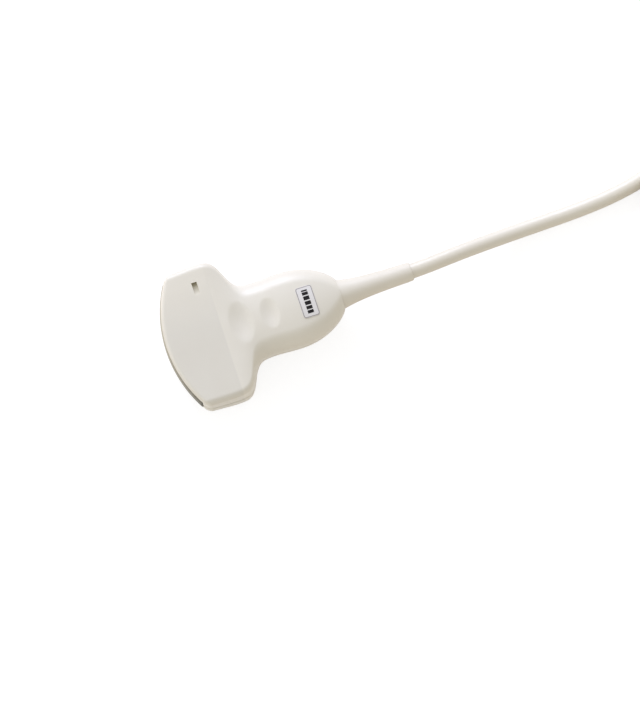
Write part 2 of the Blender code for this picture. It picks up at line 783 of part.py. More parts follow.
def layers():
    arc_solid("matching_layer_outer", slab_profile("matching_outer"), STACK_HALF_ANGLE,
              MATCHING_FILM, HAND_PIECE)
    arc_solid("matching_layer_inner", slab_profile("matching_inner"), STACK_HALF_ANGLE,
              MATCHING_FILM, HAND_PIECE)
    arc_solid("backing_block", slab_profile("backing"), STACK_HALF_ANGLE, BACKING_EPOXY,
              HAND_PIECE)


# Board and its parts

def circuit_board():
    edge = [(BOARD_START_S, -BOARD_HALF_WIDTH), (BOARD_END_S, -BOARD_HALF_WIDTH),
            (BOARD_END_S, BOARD_HALF_WIDTH), (BOARD_START_S, BOARD_HALF_WIDTH)]
    holes = [circle_outline(BOARD_SCREW_S, side * BOARD_SCREW_Y, SCREW_RADIUS + GAP, SCREW_SIDES)
             for side in (1, -1)]
    flat_plate("circuit_board", [edge] + holes, BOARD_THICKNESS / 2, BOARD_LAMINATE, HAND_PIECE)
    seat = BOARD_THICKNESS / 2 + GAP
    for label, side in (("left", 1), ("right", -1)):
        screw_solid("board_screw_" + label, STEEL, HAND_PIECE,
                    (BOARD_SCREW_S, side * BOARD_SCREW_Y, seat), SMALL_SCREW)
    for name, side in (("board_socket_front", 1), ("board_socket_back", -1)):
        socket = object_from(name, box_mesh(name, SOCKET_SIZE), BLACK_PLASTIC, HAND_PIECE,
                             (SOCKET_S, 0.0, side * (seat + SOCKET_SIZE[2] / 2)))
        bevel(socket, MOULDED_EDGE, segments=1)
    chip = object_from("memory_chip", box_mesh("memory_chip", CHIP_SIZE), BLACK_PLASTIC,
                       HAND_PIECE, (CHIP_S, 0.0, seat + CHIP_SIZE[2] / 2))
    bevel(chip, CHIP_EDGE, segments=1)
    comb = object_from("coax_comb", box_mesh("coax_comb", COMB_SIZE), GREY_PLASTIC, HAND_PIECE,
                       (COMB_S, 0.0, seat + COMB_SIZE[2] / 2))
    bevel(comb, MOULDED_EDGE, segments=1)


def shield_can():
    """A drawn cover, open towards the board"""
    bm = bmesh.new()
    bmesh.ops.create_cube(bm, size=1.0)
    bmesh.ops.scale(bm, vec=CAN_SIZE, verts=bm.verts)
    floor = [face for face in bm.faces if face.normal.z < -0.5]
    bmesh.ops.delete(bm, geom=floor, context="FACES_ONLY")
    place = (CHIP_S, 0.0, BOARD_THICKNESS / 2 + GAP + CAN_SIZE[2] / 2)
    can = object_from("shield_can", mesh_keeping_faces("shield_can", bm), TINNED_STEEL,
                      HAND_PIECE, place)
    bevel(can, CAN_CORNER)
    solidify(can, CAN_WALL)
    return can


def wire_loom():
    """The cable's fine wires, gathered round at the ferrule and spread flat at the comb"""
    start_s = COMB_S + COMB_SIZE[0] / 2 + GAP
    end_s = CABLE_END_S - GAP
    start_z = BOARD_THICKNESS / 2 + GAP + COMB_SIZE[2] / 2
    rows = []
    for step in range(LOOM_ROWS + 1):
        share = ease(step, 0, LOOM_ROWS)
        half_across = blend(COMB_SIZE[1] / 2, LOOM_END_RADIUS, share)
        half_thick = blend(LOOM_THICKNESS / 2, LOOM_END_RADIUS, share)
        centre = Vector((blend(start_s, end_s, step / LOOM_ROWS), 0.0, blend(start_z, 0.0, share)))
        row = []
        for side in range(LOOM_SIDES):
            turn = 2 * math.pi * side / LOOM_SIDES
            row.append(centre + Vector((0.0, half_across * math.cos(turn),
                                        half_thick * math.sin(turn))))
        rows.append(row)
    mesh = mesh_from("wire_loom", loft(rows, closed=True, caps=True), smooth=True)
    return object_from("wire_loom", mesh, WIRE_BUNDLE, HAND_PIECE)


# Cable, ferrule, strain relief and label

def crimp_ferrule():
    inner = CABLE_DIAMETER / 2 + GAP
    outer = inner + FERRULE_WALL
    lip = outer + FERRULE_LIP
    lip_s = FERRULE_END_S - FERRULE_WALL
    profile = [(inner, FERRULE_START_S), (inner, FERRULE_END_S), (lip, FERRULE_END_S),
               (lip, lip_s), (outer, lip_s), (outer, FERRULE_START_S)]
    return turned("crimp_ferrule", profile, BRASS, HAND_PIECE)


def boot_radius(s):
    """Radius of the strain relief's outside, which flares towards the housing"""
    fall = math.exp(-(s - END_S) / BOOT_FLARE)
    return BOOT_END_RADIUS + (BOOT_BASE_RADIUS - BOOT_END_RADIUS) * fall


def strain_relief_boot():
    bore = CABLE_DIAMETER / 2 + GAP
    base_s = END_S + GAP
    foot_end = BOOT_FOOT_S + BOOT_FOOT_THICKNESS
    profile = [(bore, BOOT_FOOT_S), (bore, BOOT_END_S)]
    profile.append((boot_radius(BOOT_END_S) - BOOT_RIM, BOOT_END_S))
    for step in range(BOOT_ROWS + 1):
        s = blend(BOOT_END_S - BOOT_RIM, base_s, (step / BOOT_ROWS) ** 0.75)
        profile.append((boot_radius(s), s))
    profile += [(BOOT_NECK_RADIUS, base_s), (BOOT_NECK_RADIUS, foot_end),
                (BOOT_FOOT_RADIUS, foot_end), (BOOT_FOOT_RADIUS, BOOT_FOOT_S)]
    return turned("strain_relief_boot", profile, BOOT_RUBBER, HAND_PIECE)


def label_plate():
    """A thin label that follows the grip's crowned face"""
    rows = []
    for step in range(LABEL_ROWS + 1):
        s = LABEL_S + LABEL_WIDTH * (step / LABEL_ROWS - 0.5)
        row = []
        for column in range(LABEL_COLUMNS + 1):
            y = LABEL_Y + LABEL_LENGTH * (column / LABEL_COLUMNS - 0.5)
            row.append(Vector((s, y, skin_depth(s, y) + GAP)))
        rows.append(row)
    bm = loft(rows)
    bmesh.ops.reverse_faces(bm, faces=bm.faces)
    plate = object_from("label_plate", mesh_keeping_faces("label_plate", bm), LABEL_FILM,
                        HAND_PIECE)
    solidify(plate, LABEL_THICKNESS, offset=1.0)
    return plate


def smooth_route(route, step):
    """Points a step apart on a smooth curve through the route's points"""
    points = [Vector(point) for point in route]
    ends = [points[0] * 2 - points[1]] + points + [points[-1] * 2 - points[-2]]
    fine = []
    for index in range(len(points) - 1):
        before, start, end, after = ends[index:index + 4]
        for part in range(8):
            t = part / 8
            fine.append(0.5 * (start * 2 + (end - before) * t
                               + (before * 2 - start * 5 + end * 4 - after) * t * t
                               + (start * 3 - before - end * 3 + after) * t * t * t))
    fine.append(points[-1])
    travelled = [0.0]
    for start, end in zip(fine, fine[1:]):
        travelled.append(travelled[-1] + (end - start).length)
    count = max(2, round(travelled[-1] / step))
    path = []
    for index in range(count + 1):
        goal = travelled[-1] * index / count
        place = max(i for i, length in enumerate(travelled) if length <= goal + 1e-9)
        place = min(place, len(fine) - 2)
        share = (goal - travelled[place]) / (travelled[place + 1] - travelled[place])
        path.append(fine[place].lerp(fine[place + 1], share))
    return path


def cable_tube(name, route):
    curve = bpy.data.curves.new(name, "CURVE")
    curve.dimensions = "3D"
    curve.bevel_depth = CABLE_DIAMETER / 2
    curve.bevel_resolution = CABLE_SIDES_RESOLUTION
    curve.use_fill_caps = True
    path = smooth_route(route, CABLE_STEP)
    spline = curve.splines.new("POLY")
    spline.points.add(len(path) - 1)
    for point, place in zip(spline.points, path):
        point.co = (*place, 1.0)
    return object_from(name, curve, CABLE_JACKET)


def coil_and_tie():
    """The coil's outer shape as one ring, held by a strap that the coil rests on"""
    reach = COIL_BUNDLE_RADIUS + CABLE_DIAMETER / 2
    bow = TIE_WIDTH ** 2 / 8 / (COIL_RADIUS - reach)
    seat = reach + GAP + bow
    height = seat + TIE_THICKNESS
    corner = reach / math.cos(math.pi / COIL_SIDES)
    ring = []
    for side in range(COIL_SIDES):
        turn = 2 * math.pi * (side + 0.5) / COIL_SIDES
        ring.append((COIL_RADIUS + corner * math.cos(turn), corner * math.sin(turn)))
    turned("cable_coil", ring, CABLE_JACKET, None, (*COIL_CENTRE, height), sides=COIL_STEPS,
           along_x=False)
    spread = math.cos(math.pi / COIL_SIDES)
    inner = seat / spread
    outer = (seat + TIE_THICKNESS) / spread
    band = [(inner, -TIE_WIDTH / 2), (inner, TIE_WIDTH / 2), (outer, TIE_WIDTH / 2),
            (outer, -TIE_WIDTH / 2)]
    middle = Vector((math.cos(TIE_BEARING), math.sin(TIE_BEARING))) * COIL_RADIUS
    place = (COIL_CENTRE[0] + middle.x, COIL_CENTRE[1] + middle.y, height)
    tie = turned("coil_tie", band, STRAP_FABRIC, None, place, sides=COIL_SIDES, along_x=False)
    tie.rotation_mode = "XYZ"
    tie.rotation_euler = (math.pi / 2, math.pi / COIL_SIDES, TIE_BEARING)
    return tie


# Plug

PLUG = new_frame("plug_frame", (*PLUG_PLACE, HOOD_HALF_HEIGHT), PLUG_BEARING)
HOOD_END = HOOD_START + HOOD_LENGTH
SHELL_START = HOOD_END - HOOD_WALL - GAP - SHELL_FLANGE_THICKNESS


def plug_cutter(name, mesh, place=(0.0, 0.0, 0.0)):
    return as_cutter(object_from(name, mesh, GREY_PLASTIC, PLUG, place))


def plug_hood(name, side):
    """One half of the hood: a moulded tray with a boss for each screw"""
    height = HOOD_HALF_HEIGHT - GAP / 2
    centre_z = side * (GAP / 2 + height / 2)
    bm = bmesh.new()
    bmesh.ops.create_cube(bm, size=1.0)
    bmesh.ops.scale(bm, vec=(HOOD_LENGTH, 2 * HOOD_HALF_WIDTH, height), verts=bm.verts)
    upright = [edge for edge in bm.edges if abs(edge.verts[0].co.z - edge.verts[1].co.z) > GAP]
    bmesh.ops.bevel(bm, geom=upright, offset=HOOD_CORNER, segments=3, profile=0.5,
                    affect="EDGES")
    outer = [edge for edge in bm.edges if all(v.co.z * side > height * 0.49 for v in edge.verts)]
    bmesh.ops.bevel(bm, geom=outer, offset=HOOD_EDGE, segments=2, profile=0.5, affect="EDGES")
    hood = object_from(name, mesh_from(name, bm), GREY_PLASTIC, PLUG,
                       (HOOD_START + HOOD_LENGTH / 2, 0.0, centre_z))
    room = (HOOD_LENGTH - 2 * HOOD_WALL, 2 * (HOOD_HALF_WIDTH - HOOD_WALL),
            2 * (HOOD_HALF_HEIGHT - HOOD_WALL))
    boolean(hood, plug_cutter(name + "_room", box_mesh("room", room),
                              (HOOD_START + HOOD_LENGTH / 2, 0.0, 0.0)))
    mouth = (4 * HOOD_WALL, 2 * (SHELL_HALF_WIDTH + GAP), 2 * (SHELL_HALF_HEIGHT + GAP))
    boolean(hood, plug_cutter(name + "_mouth", box_mesh("mouth", mouth), (HOOD_END, 0.0, 0.0)))
    inlet = rod_mesh("inlet", PLUG_BOOT_NECK_RADIUS + GAP, HOOD_START - HOOD_WALL,
                     HOOD_START + 2 * HOOD_WALL, sides=16, axis="X")
    boolean(hood, plug_cutter(name + "_inlet", inlet))
    wall_z = side * (HOOD_HALF_HEIGHT - HOOD_WALL / 2)
    seat_z = HOOD_HALF_HEIGHT - HOOD_SCREW_HEAD_HEIGHT
    for label, hand in (("left", 1), ("right", -1)):
        place = (HOOD_SCREW_X, hand * HOOD_SCREW_Y, 0.0)
        low, high = sorted((wall_z, side * GAP / 2))
        boss = rod_mesh("boss", HOOD_BOSS_RADIUS, low, high, sides=12)
        boolean(hood, plug_cutter(name + "_boss_" + label, boss, place), "UNION")
        shank = rod_mesh("shank", HOOD_SCREW_RADIUS + GAP, seat_z - HOOD_SCREW_LENGTH - GAP,
                         HOOD_HALF_HEIGHT + HOOD_WALL, sides=SCREW_SIDES)
        boolean(hood, plug_cutter(name + "_shank_" + label, shank, place))
        if side > 0:
            head = rod_mesh("head", HOOD_SCREW_HEAD_RADIUS + GAP, seat_z - GAP,
                            HOOD_HALF_HEIGHT + HOOD_WALL, sides=16)
            boolean(hood, plug_cutter(name + "_head_" + label, head, place))
            screw_solid("hood_screw_" + label, STEEL, PLUG, (*place[:2], seat_z), HOOD_SCREW)
    return hood


def plug_shell():
    """A drawn metal frame with a flange that seats behind the hood's front wall"""
    length = HOOD_END + SHELL_PROUD - SHELL_START
    body = (length, 2 * SHELL_HALF_WIDTH, 2 * SHELL_HALF_HEIGHT)
    shell = object_from("plug_shell", box_mesh("plug_shell", body), TINNED_STEEL, PLUG,
                        (SHELL_START + length / 2, 0.0, 0.0))
    flange = (SHELL_FLANGE_THICKNESS, 2 * (SHELL_HALF_WIDTH + SHELL_FLANGE),
              2 * (SHELL_HALF_HEIGHT + SHELL_FLANGE))
    rim_x = SHELL_START + SHELL_FLANGE_THICKNESS / 2
    boolean(shell, plug_cutter("flange", box_mesh("flange", flange), (rim_x, 0.0, 0.0)), "UNION")
    room = (2 * length, 2 * (SHELL_HALF_WIDTH - SHELL_WALL), 2 * (SHELL_HALF_HEIGHT - SHELL_WALL))
    boolean(shell, plug_cutter("shell_room", box_mesh("shell_room", room),
                               (SHELL_START + length / 2, 0.0, 0.0)))
    return shell


def plug_insulator():
    """The contact block, with two rows of round sockets in its face"""
    half_width_here = SHELL_HALF_WIDTH - SHELL_WALL - GAP
    half_height = SHELL_HALF_HEIGHT - SHELL_WALL - GAP
    face_x = HOOD_END + SHELL_PROUD - INSULATOR_SETBACK
    size = (face_x - SHELL_START, 2 * half_width_here, 2 * half_height)
    block = object_from("plug_insulator", box_mesh("plug_insulator", size), BLACK_PLASTIC, PLUG,
                        ((SHELL_START + face_x) / 2, 0.0, 0.0))
    for row in (-1, 1):
        for column in range(CONTACT_COLUMNS):
            name = "contact_%d_%d" % (row, column)
            y = (column - (CONTACT_COLUMNS - 1) / 2) * CONTACT_PITCH
            hole = rod_mesh(name, CONTACT_RADIUS, face_x - CONTACT_DEPTH, face_x + CONTACT_DEPTH,
                            sides=CONTACT_SIDES, axis="X")
            place = (0.0, y, row * CONTACT_ROW_HALF_PITCH)
            boolean(block, plug_cutter(name, hole, place))
    return block


def plug_boot():
    bore = CABLE_DIAMETER / 2 + GAP
    base = HOOD_START - GAP
    foot = HOOD_START + HOOD_WALL + GAP
    foot_end = foot + PLUG_BOOT_FOOT_THICKNESS
    foot_radius = HOOD_HALF_HEIGHT - HOOD_WALL - GAP
    profile = [(bore, foot_end), (bore, 0.0), (PLUG_BOOT_END_RADIUS - BOOT_RIM, 0.0),
               (PLUG_BOOT_END_RADIUS, BOOT_RIM)]
    for share in (0.4, 0.75, 1.0):
        radius = blend(PLUG_BOOT_END_RADIUS, PLUG_BOOT_BASE_RADIUS, share * share)
        profile.append((radius, base * share))
    profile += [(PLUG_BOOT_NECK_RADIUS, base), (PLUG_BOOT_NECK_RADIUS, foot),
                (foot_radius, foot), (foot_radius, foot_end)]
    turned("plug_boot", profile, BOOT_RUBBER, PLUG)
    core = rod_mesh("cable_in_plug", CABLE_DIAMETER / 2, 0.0, foot_end, sides=12, axis="X")
    object_from("cable_in_plug", core, CABLE_JACKET, PLUG)


def cable():
    core = rod_mesh("cable_in_boot", CABLE_DIAMETER / 2, CABLE_END_S, BOOT_END_S, sides=12,
                    axis="X")
    object_from("cable_in_boot", core, CABLE_JACKET, HAND_PIECE)
    cable_tube("cable_lead", LEAD_ROUTE)
    cable_tube("cable_tail", TAIL_ROUTE)
    coil_and_tie()


front_shell()
back_shell()
acoustic_lens()
layers()
piezo_array()
array_carrier()
flex_circuit("flex_circuit_front", 1)
flex_circuit("flex_circuit_back", -1)
circuit_board()
shield_can()
wire_loom()
crimp_ferrule()
strain_relief_boot()
label_plate()
cable()
plug_hood("plug_hood_upper", 1)
plug_hood("plug_hood_lower", -1)
plug_shell()
plug_insulator()
plug_boot()
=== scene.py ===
"""Looks of a convex ultrasound transducer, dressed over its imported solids"""
import math

import bmesh
import bpy
from mathutils import Matrix, Vector


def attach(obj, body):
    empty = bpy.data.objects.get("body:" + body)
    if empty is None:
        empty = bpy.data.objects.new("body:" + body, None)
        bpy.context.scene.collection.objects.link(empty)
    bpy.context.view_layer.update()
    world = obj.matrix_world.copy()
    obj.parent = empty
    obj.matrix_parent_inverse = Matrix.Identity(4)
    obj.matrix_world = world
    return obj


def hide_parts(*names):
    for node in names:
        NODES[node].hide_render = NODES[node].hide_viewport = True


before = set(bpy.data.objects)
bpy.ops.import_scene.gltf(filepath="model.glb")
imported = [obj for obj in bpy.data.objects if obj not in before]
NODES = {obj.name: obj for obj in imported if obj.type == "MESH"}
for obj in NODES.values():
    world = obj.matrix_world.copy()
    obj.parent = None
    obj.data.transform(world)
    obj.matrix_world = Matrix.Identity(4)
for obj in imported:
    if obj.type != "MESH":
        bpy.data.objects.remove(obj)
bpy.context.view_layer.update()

# Sizes of the hand piece and its cable, as in their solids

GAP = 0.0003
FACE_RADIUS = 0.0615
FACE_HALF_WIDTH = 0.0340
HEAD_HALF_WIDTH = 0.0344
HEAD_WIDEST_S = 0.0240
SHOULDER_S = 0.0370
SHOULDER_SOFTNESS = 0.00195
NECK_HALF_WIDTH = 0.0185
NECK_S = 0.0500
GRIP_HALF_WIDTH = 0.0190
GRIP_S = 0.0632
END_ROUND_LENGTH = 0.0282
END_S = 0.0888
FACE_HALF_DEPTH = 0.0096
CREASE_S = 0.0285
CREASE_HALF_DEPTH = 0.0130
WAIST_S = 0.0450
WAIST_HALF_DEPTH = 0.0124
BELLY_S = 0.0620
BELLY_HALF_DEPTH = 0.0130
BELLY_ROUND_LENGTH = 0.0340
WALL = 0.0020
RIM_ROUND = 0.0022
HEAD_EDGE = 0.0032
GRIP_EDGE_ACROSS = 0.0080
GRIP_EDGE_DEEP = 0.0095
SIDE_FLAT = 0.0010
DIMPLES = (    # middle, half length, half width and depth of each
    (0.0384, 0.0062, 0.0108, 0.0014),
    (0.0530, 0.0048, 0.0080, 0.0011),
)
DIMPLE_FALL = 1.4
MARK_S = 0.0224
MARK_Y = 0.0228
MARK_LENGTH = 0.0062
MARK_DEPTH = 0.0014
LENS_PROUD = 0.0008
LENS_HALF_HEIGHT = 0.0066
LENS_HALF_LENGTH = 0.0305
LENS_THICKNESS = 0.0033
LENS_CROWN = 0.0004
CABLE_DIAMETER = 0.0076
BOOT_FOOT_S = 0.0795
BOOT_FOOT_THICKNESS = 0.0028
BOOT_FOOT_RADIUS = 0.0079
BOOT_NECK_RADIUS = 0.0057
BOOT_BASE_RADIUS = 0.0074
BOOT_END_RADIUS = 0.0046
BOOT_FLARE = 0.0120
BOOT_END_S = 0.1256
LABEL_S = 0.0720
LABEL_Y = -0.0005
LABEL_LENGTH = 0.0155
LABEL_WIDTH = 0.0082
LABEL_THICKNESS = 0.0003

# Sizes that the picture asks for, each less than a millimetre away from the solids

SEAM = 0.00005
GRIP_CROWN = 0.22
MARK_WIDTH = 0.0026
BOOT_LIP = 0.00065
BOOT_BORE_GAP = 0.00005

# Shares of half a section: the flat top, then the rounded edge, then the side

TOP_SHARE = 0.50
EDGE_SHARE = 0.42

# The hand piece's frame: s runs from the curved face's crown along +X

ORIGIN_S = (BOOT_END_S - LENS_PROUD) / 2
AXIS_HEIGHT = max(CREASE_HALF_DEPTH, BELLY_HALF_DEPTH)


def blend(start, end, share):
    return start + (end - start) * share


def ease(value, start, end):
    share = min(max((value - start) / (end - start), 0.0), 1.0)
    return share * share * (3.0 - 2.0 * share)


def on_hand_piece(point):
    """A point of the hand piece's own frame, in the scene"""
    return Vector((point[0] - ORIGIN_S, point[1], point[2] + AXIS_HEIGHT))


# Camera, over the front face and slightly from the head's lower side

VIEW_TURN = math.radians(18.4)
VIEW_HEIGHT = math.radians(80.2)
VIEW_LEAN = math.radians(0.7)
VIEW_DISTANCE = 1.9765
VIEW_LENS = 200.0
SENSOR_WIDTH = 36.0
NEAREST_SEEN = 0.01
PICTURE_SIZE = (640, 727)
BOOT_BASE_PIXEL = (342.1, 293.9)
BOOT_BASE_PAST_END = 0.0010


def picture_camera():
    """Looks so that the strain relief's base falls on its pixel"""
    sight = Vector((math.sin(VIEW_TURN) * math.cos(VIEW_HEIGHT),
                    math.cos(VIEW_TURN) * math.cos(VIEW_HEIGHT), -math.sin(VIEW_HEIGHT)))
    level = Vector((math.cos(VIEW_TURN), -math.sin(VIEW_TURN), 0.0))
    upward = level.cross(sight)
    aside = level * math.cos(VIEW_LEAN) + sight * math.sin(VIEW_LEAN)
    sight = sight * math.cos(VIEW_LEAN) - level * math.sin(VIEW_LEAN)
    metres_a_pixel = VIEW_DISTANCE / (VIEW_LENS / SENSOR_WIDTH * max(PICTURE_SIZE))
    across = (BOOT_BASE_PIXEL[0] - PICTURE_SIZE[0] / 2) * metres_a_pixel
    above = (PICTURE_SIZE[1] / 2 - BOOT_BASE_PIXEL[1]) * metres_a_pixel
    boot_base = on_hand_piece((END_S + BOOT_BASE_PAST_END, 0.0, 0.0))
    pose = Matrix((aside, upward, -sight)).transposed().to_4x4()
    pose.translation = boot_base - sight * VIEW_DISTANCE - aside * across - upward * above
    camera = bpy.data.objects.new("camera", bpy.data.cameras.new("camera"))
    bpy.context.scene.collection.objects.link(camera)
    camera.data.lens = VIEW_LENS
    camera.data.sensor_width = SENSOR_WIDTH
    camera.data.clip_start = NEAREST_SEEN
    camera.matrix_world = pose
    bpy.context.scene.camera = camera


picture_camera()


# Nodes of a finish, the first four values being the sockets of a Mix node for colours

MIX_FACTOR = 0
MIX_FIRST = 6
MIX_SECOND = 7
MIX_COLOUR = 2
CLOUD_ROUGHNESS = 0.55
CLOUD_SPREAD = (0.3, 0.7)
WHITE = (1.0, 1.0, 1.0)


def add_node(finish, kind, **values):
    node = finish.node_tree.nodes.new(kind)
    for name, value in values.items():
        if name in node.inputs:
            node.inputs[name].default_value = value
        else:
            setattr(node, name, value)
    return node


def join(finish, out, into):
    finish.node_tree.links.new(out, into)


def shader_of(finish):
    return finish.node_tree.nodes["Principled BSDF"]


def place_on(finish, scale=(1.0, 1.0, 1.0)):
    """Object coordinates, stretched to follow the finish's own direction"""
    where = add_node(finish, "ShaderNodeTexCoord")
    turn = add_node(finish, "ShaderNodeMapping", Scale=scale)
    join(finish, where.outputs["Object"], turn.inputs["Vector"])
    return turn.outputs["Vector"]


def place_along(finish, axis):
    """How far along one axis, in metres"""
    parts = add_node(finish, "ShaderNodeSeparateXYZ")
    join(finish, place_on(finish), parts.inputs["Vector"])
    return parts.outputs[axis]


def ramp(finish, value, start, end, low=0.0, high=1.0):
    """Goes from low to high while the value goes from start to end"""
    change = add_node(finish, "ShaderNodeMapRange")
    change.inputs["From Min"].default_value = start
    change.inputs["From Max"].default_value = end
    change.inputs["To Min"].default_value = low
    change.inputs["To Max"].default_value = high
    join(finish, value, change.inputs["Value"])
    return change.outputs["Result"]


def greater(finish, first, second):
    """The greater of two values"""
    most = add_node(finish, "ShaderNodeMath", operation="MAXIMUM")
    join(finish, first, most.inputs[0])
    join(finish, second, most.inputs[1])
    return most.outputs["Value"]


def mottle(finish, where, scale, low, high, detail=3.0):
    """A soft cloud of noise between two values"""
    cloud = add_node(finish, "ShaderNodeTexNoise", Scale=scale, Detail=detail,
                     Roughness=CLOUD_ROUGHNESS)
    join(finish, where, cloud.inputs["Vector"])
    return ramp(finish, cloud.outputs["Fac"], *CLOUD_SPREAD, low, high)


def tint(finish, factor, first, second):
    mix = add_node(finish, "ShaderNodeMix", data_type="RGBA")
    mix.inputs[MIX_FIRST].default_value = (*first, 1.0)
    mix.inputs[MIX_SECOND].default_value = (*second, 1.0)
    join(finish, factor, mix.inputs[MIX_FACTOR])
    return mix.outputs[MIX_COLOUR]


def paint(finish, factor, first, second):
    """Colours the finish between two colours"""
    join(finish, tint(finish, factor, first, second), shader_of(finish).inputs["Base Color"])


def paint_shade_over(finish, unshaded, shade):
    """Darkens the finish's own colour by a painted shade, full where the factor is 0 and gone
    where it is 1
    """
    own_colour = shader_of(finish).inputs["Base Color"].links[0].from_socket
    shaded = add_node(finish, "ShaderNodeMix", data_type="RGBA", blend_type="MULTIPLY")
    shaded.inputs[MIX_FACTOR].default_value = 1.0
    join(finish, own_colour, shaded.inputs[MIX_FIRST])
    join(finish, tint(finish, unshaded, shade, WHITE), shaded.inputs[MIX_SECOND])
    join(finish, shaded.outputs[MIX_COLOUR], shader_of(finish).inputs["Base Color"])


def bumped(finish, heights, depth):
    """The shader's normal follows a height, with depth in metres"""
    bump = add_node(finish, "ShaderNodeBump", Strength=1.0, Distance=depth)
    join(finish, heights, bump.inputs["Height"])
    join(finish, bump.outputs["Normal"], shader_of(finish).inputs["Normal"])


# Finishes

GLOSS_FINENESS = 9.0
GLOSS_RANGE = (0.88, 1.14)
METAL_GLOSS_FINENESS = 1.3
METAL_GLOSS_RANGE = (0.8, 1.3)
METAL_LINE_DEPTH = 0.000006


def new_finish(name, roughness, metallic=0.0, coat=0.0, sheen=0.0, level=0.5):
    finish = bpy.data.materials.new(name)
    finish.use_nodes = True
    sockets = shader_of(finish).inputs
    sockets["Roughness"].default_value = roughness
    sockets["Metallic"].default_value = metallic
    sockets["Specular IOR Level"].default_value = level
    sockets["Coat Weight"].default_value = coat
    sockets["Sheen Weight"].default_value = sheen
    return finish


def uneven_gloss(finish, where, scale, roughness, between):
    """Roughness that wanders between two shares of its own value"""
    low, high = between
    join(finish, mottle(finish, where, scale, roughness * low, roughness * high),
         shader_of(finish).inputs["Roughness"])


def moulded(name, colour, shade, roughness, grain=3200.0, depth=0.000015, patch=38.0, **more):
    """A moulded or sprayed surface: faint clouds of colour, uneven gloss and a fine grain"""
    finish = new_finish(name, roughness, **more)
    where = place_on(finish)
    paint(finish, mottle(finish, where, patch, 0.0, 1.0), colour, shade)
    uneven_gloss(finish, where, patch * GLOSS_FINENESS, roughness, GLOSS_RANGE)
    bumped(finish, mottle(finish, where, grain, 0.0, 1.0, detail=2.0), depth)
    return finish


def brushed(name, colour, shade, roughness, along=(40.0, 1800.0, 1800.0)):
    """Drawn or rolled metal with fine lines along one axis"""
    finish = new_finish(name, roughness, metallic=1.0)
    where = place_on(finish, along)
    lines = mottle(finish, where, 1.0, 0.0, 1.0, detail=4.0)
    paint(finish, lines, colour, shade)
    uneven_gloss(finish, where, METAL_GLOSS_FINENESS, roughness, METAL_GLOSS_RANGE)
    bumped(finish, lines, METAL_LINE_DEPTH)
    return finish


CREAM = moulded("cream_housing", (0.738, 0.718, 0.668), (0.716, 0.693, 0.638), 0.40)
BOOT = moulded("boot_rubber", (0.735, 0.708, 0.652), (0.705, 0.675, 0.612), 0.52, grain=2200.0,
               depth=0.00002, sheen=0.1)
LENS = moulded("lens_rubber", (0.460, 0.435, 0.365), (0.420, 0.396, 0.330), 0.50, grain=1500.0,
               depth=0.00001)
JACKET = moulded("cable_jacket", (0.740, 0.712, 0.650), (0.715, 0.683, 0.615), 0.38, grain=900.0,
                 depth=0.00001, patch=22.0)
FILM = moulded("label_film", (0.730, 0.725, 0.745), (0.712, 0.705, 0.722), 0.34, grain=5000.0,
               depth=0.000006, patch=120.0)
INK = moulded("label_ink", (0.006, 0.005, 0.006), (0.010, 0.009, 0.010), 0.60, grain=5000.0,
              depth=0.000006, patch=300.0, level=0.2)
RULE = moulded("label_rule", (0.30, 0.28, 0.29), (0.36, 0.34, 0.35), 0.40, grain=5000.0,
               depth=0.000006, patch=300.0)
GREY = moulded("plug_hood_plastic", (0.085, 0.085, 0.082), (0.070, 0.070, 0.068), 0.46,
               grain=1800.0, depth=0.00003)
BLACK = moulded("black_plastic", (0.022, 0.022, 0.022), (0.030, 0.030, 0.030), 0.42)
STRAP = moulded("strap_weave", (0.030, 0.030, 0.032), (0.050, 0.050, 0.052), 0.80, grain=1400.0,
                depth=0.00018, sheen=0.4)
EPOXY = moulded("backing_epoxy", (0.040, 0.040, 0.042), (0.060, 0.060, 0.060), 0.62)
CERAMIC = moulded("ceramic", (0.46, 0.40, 0.27), (0.40, 0.34, 0.22), 0.55, grain=2600.0)
MATCHING = moulded("matching_film", (0.30, 0.27, 0.20), (0.26, 0.23, 0.17), 0.50)
POLYIMIDE = moulded("polyimide", (0.52, 0.21, 0.035), (0.44, 0.17, 0.028), 0.22, grain=700.0,
                    coat=0.4)
LAMINATE = moulded("board_laminate", (0.020, 0.140, 0.050), (0.028, 0.165, 0.060), 0.36,
                   grain=1200.0, coat=0.3)
LOOM = moulded("wire_bundle", (0.30, 0.27, 0.36), (0.50, 0.47, 0.50), 0.45, grain=1600.0,
               depth=0.0002, patch=900.0)
COMB = moulded("comb_plastic", (0.30, 0.30, 0.29), (0.26, 0.26, 0.25), 0.45)
ALUMINIUM = brushed("aluminium", (0.71, 0.72, 0.73), (0.60, 0.61, 0.62), 0.34,
                    (1800.0, 40.0, 1800.0))
STEEL = brushed("steel", (0.60, 0.60, 0.60), (0.50, 0.50, 0.50), 0.28, (900.0, 900.0, 60.0))
TIN = brushed("tinned_steel", (0.64, 0.64, 0.62), (0.54, 0.54, 0.52), 0.30,
              (1800.0, 40.0, 1800.0))
BRASS = brushed("brass", (0.78, 0.58, 0.26), (0.68, 0.50, 0.22), 0.28)


# Mesh helpers

SHARP_ANGLE = math.radians(35)
SAME_PLACE = 0.000001


def finished(name, bm, finishes, stands_for):
    """Turns a bmesh into a piece of the object, smooth but for its sharp edges"""
    mesh = bpy.data.meshes.new(name)
    bm.to_mesh(mesh)
    bm.free()
    piece = bpy.data.objects.new(name, mesh)
    bpy.context.scene.collection.objects.link(piece)
    mesh.shade_smooth()
    mesh.set_sharp_from_angle(angle=SHARP_ANGLE)
    for finish in finishes:
        mesh.materials.append(finish)
    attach(piece, "root")
    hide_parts(stands_for)
    return piece


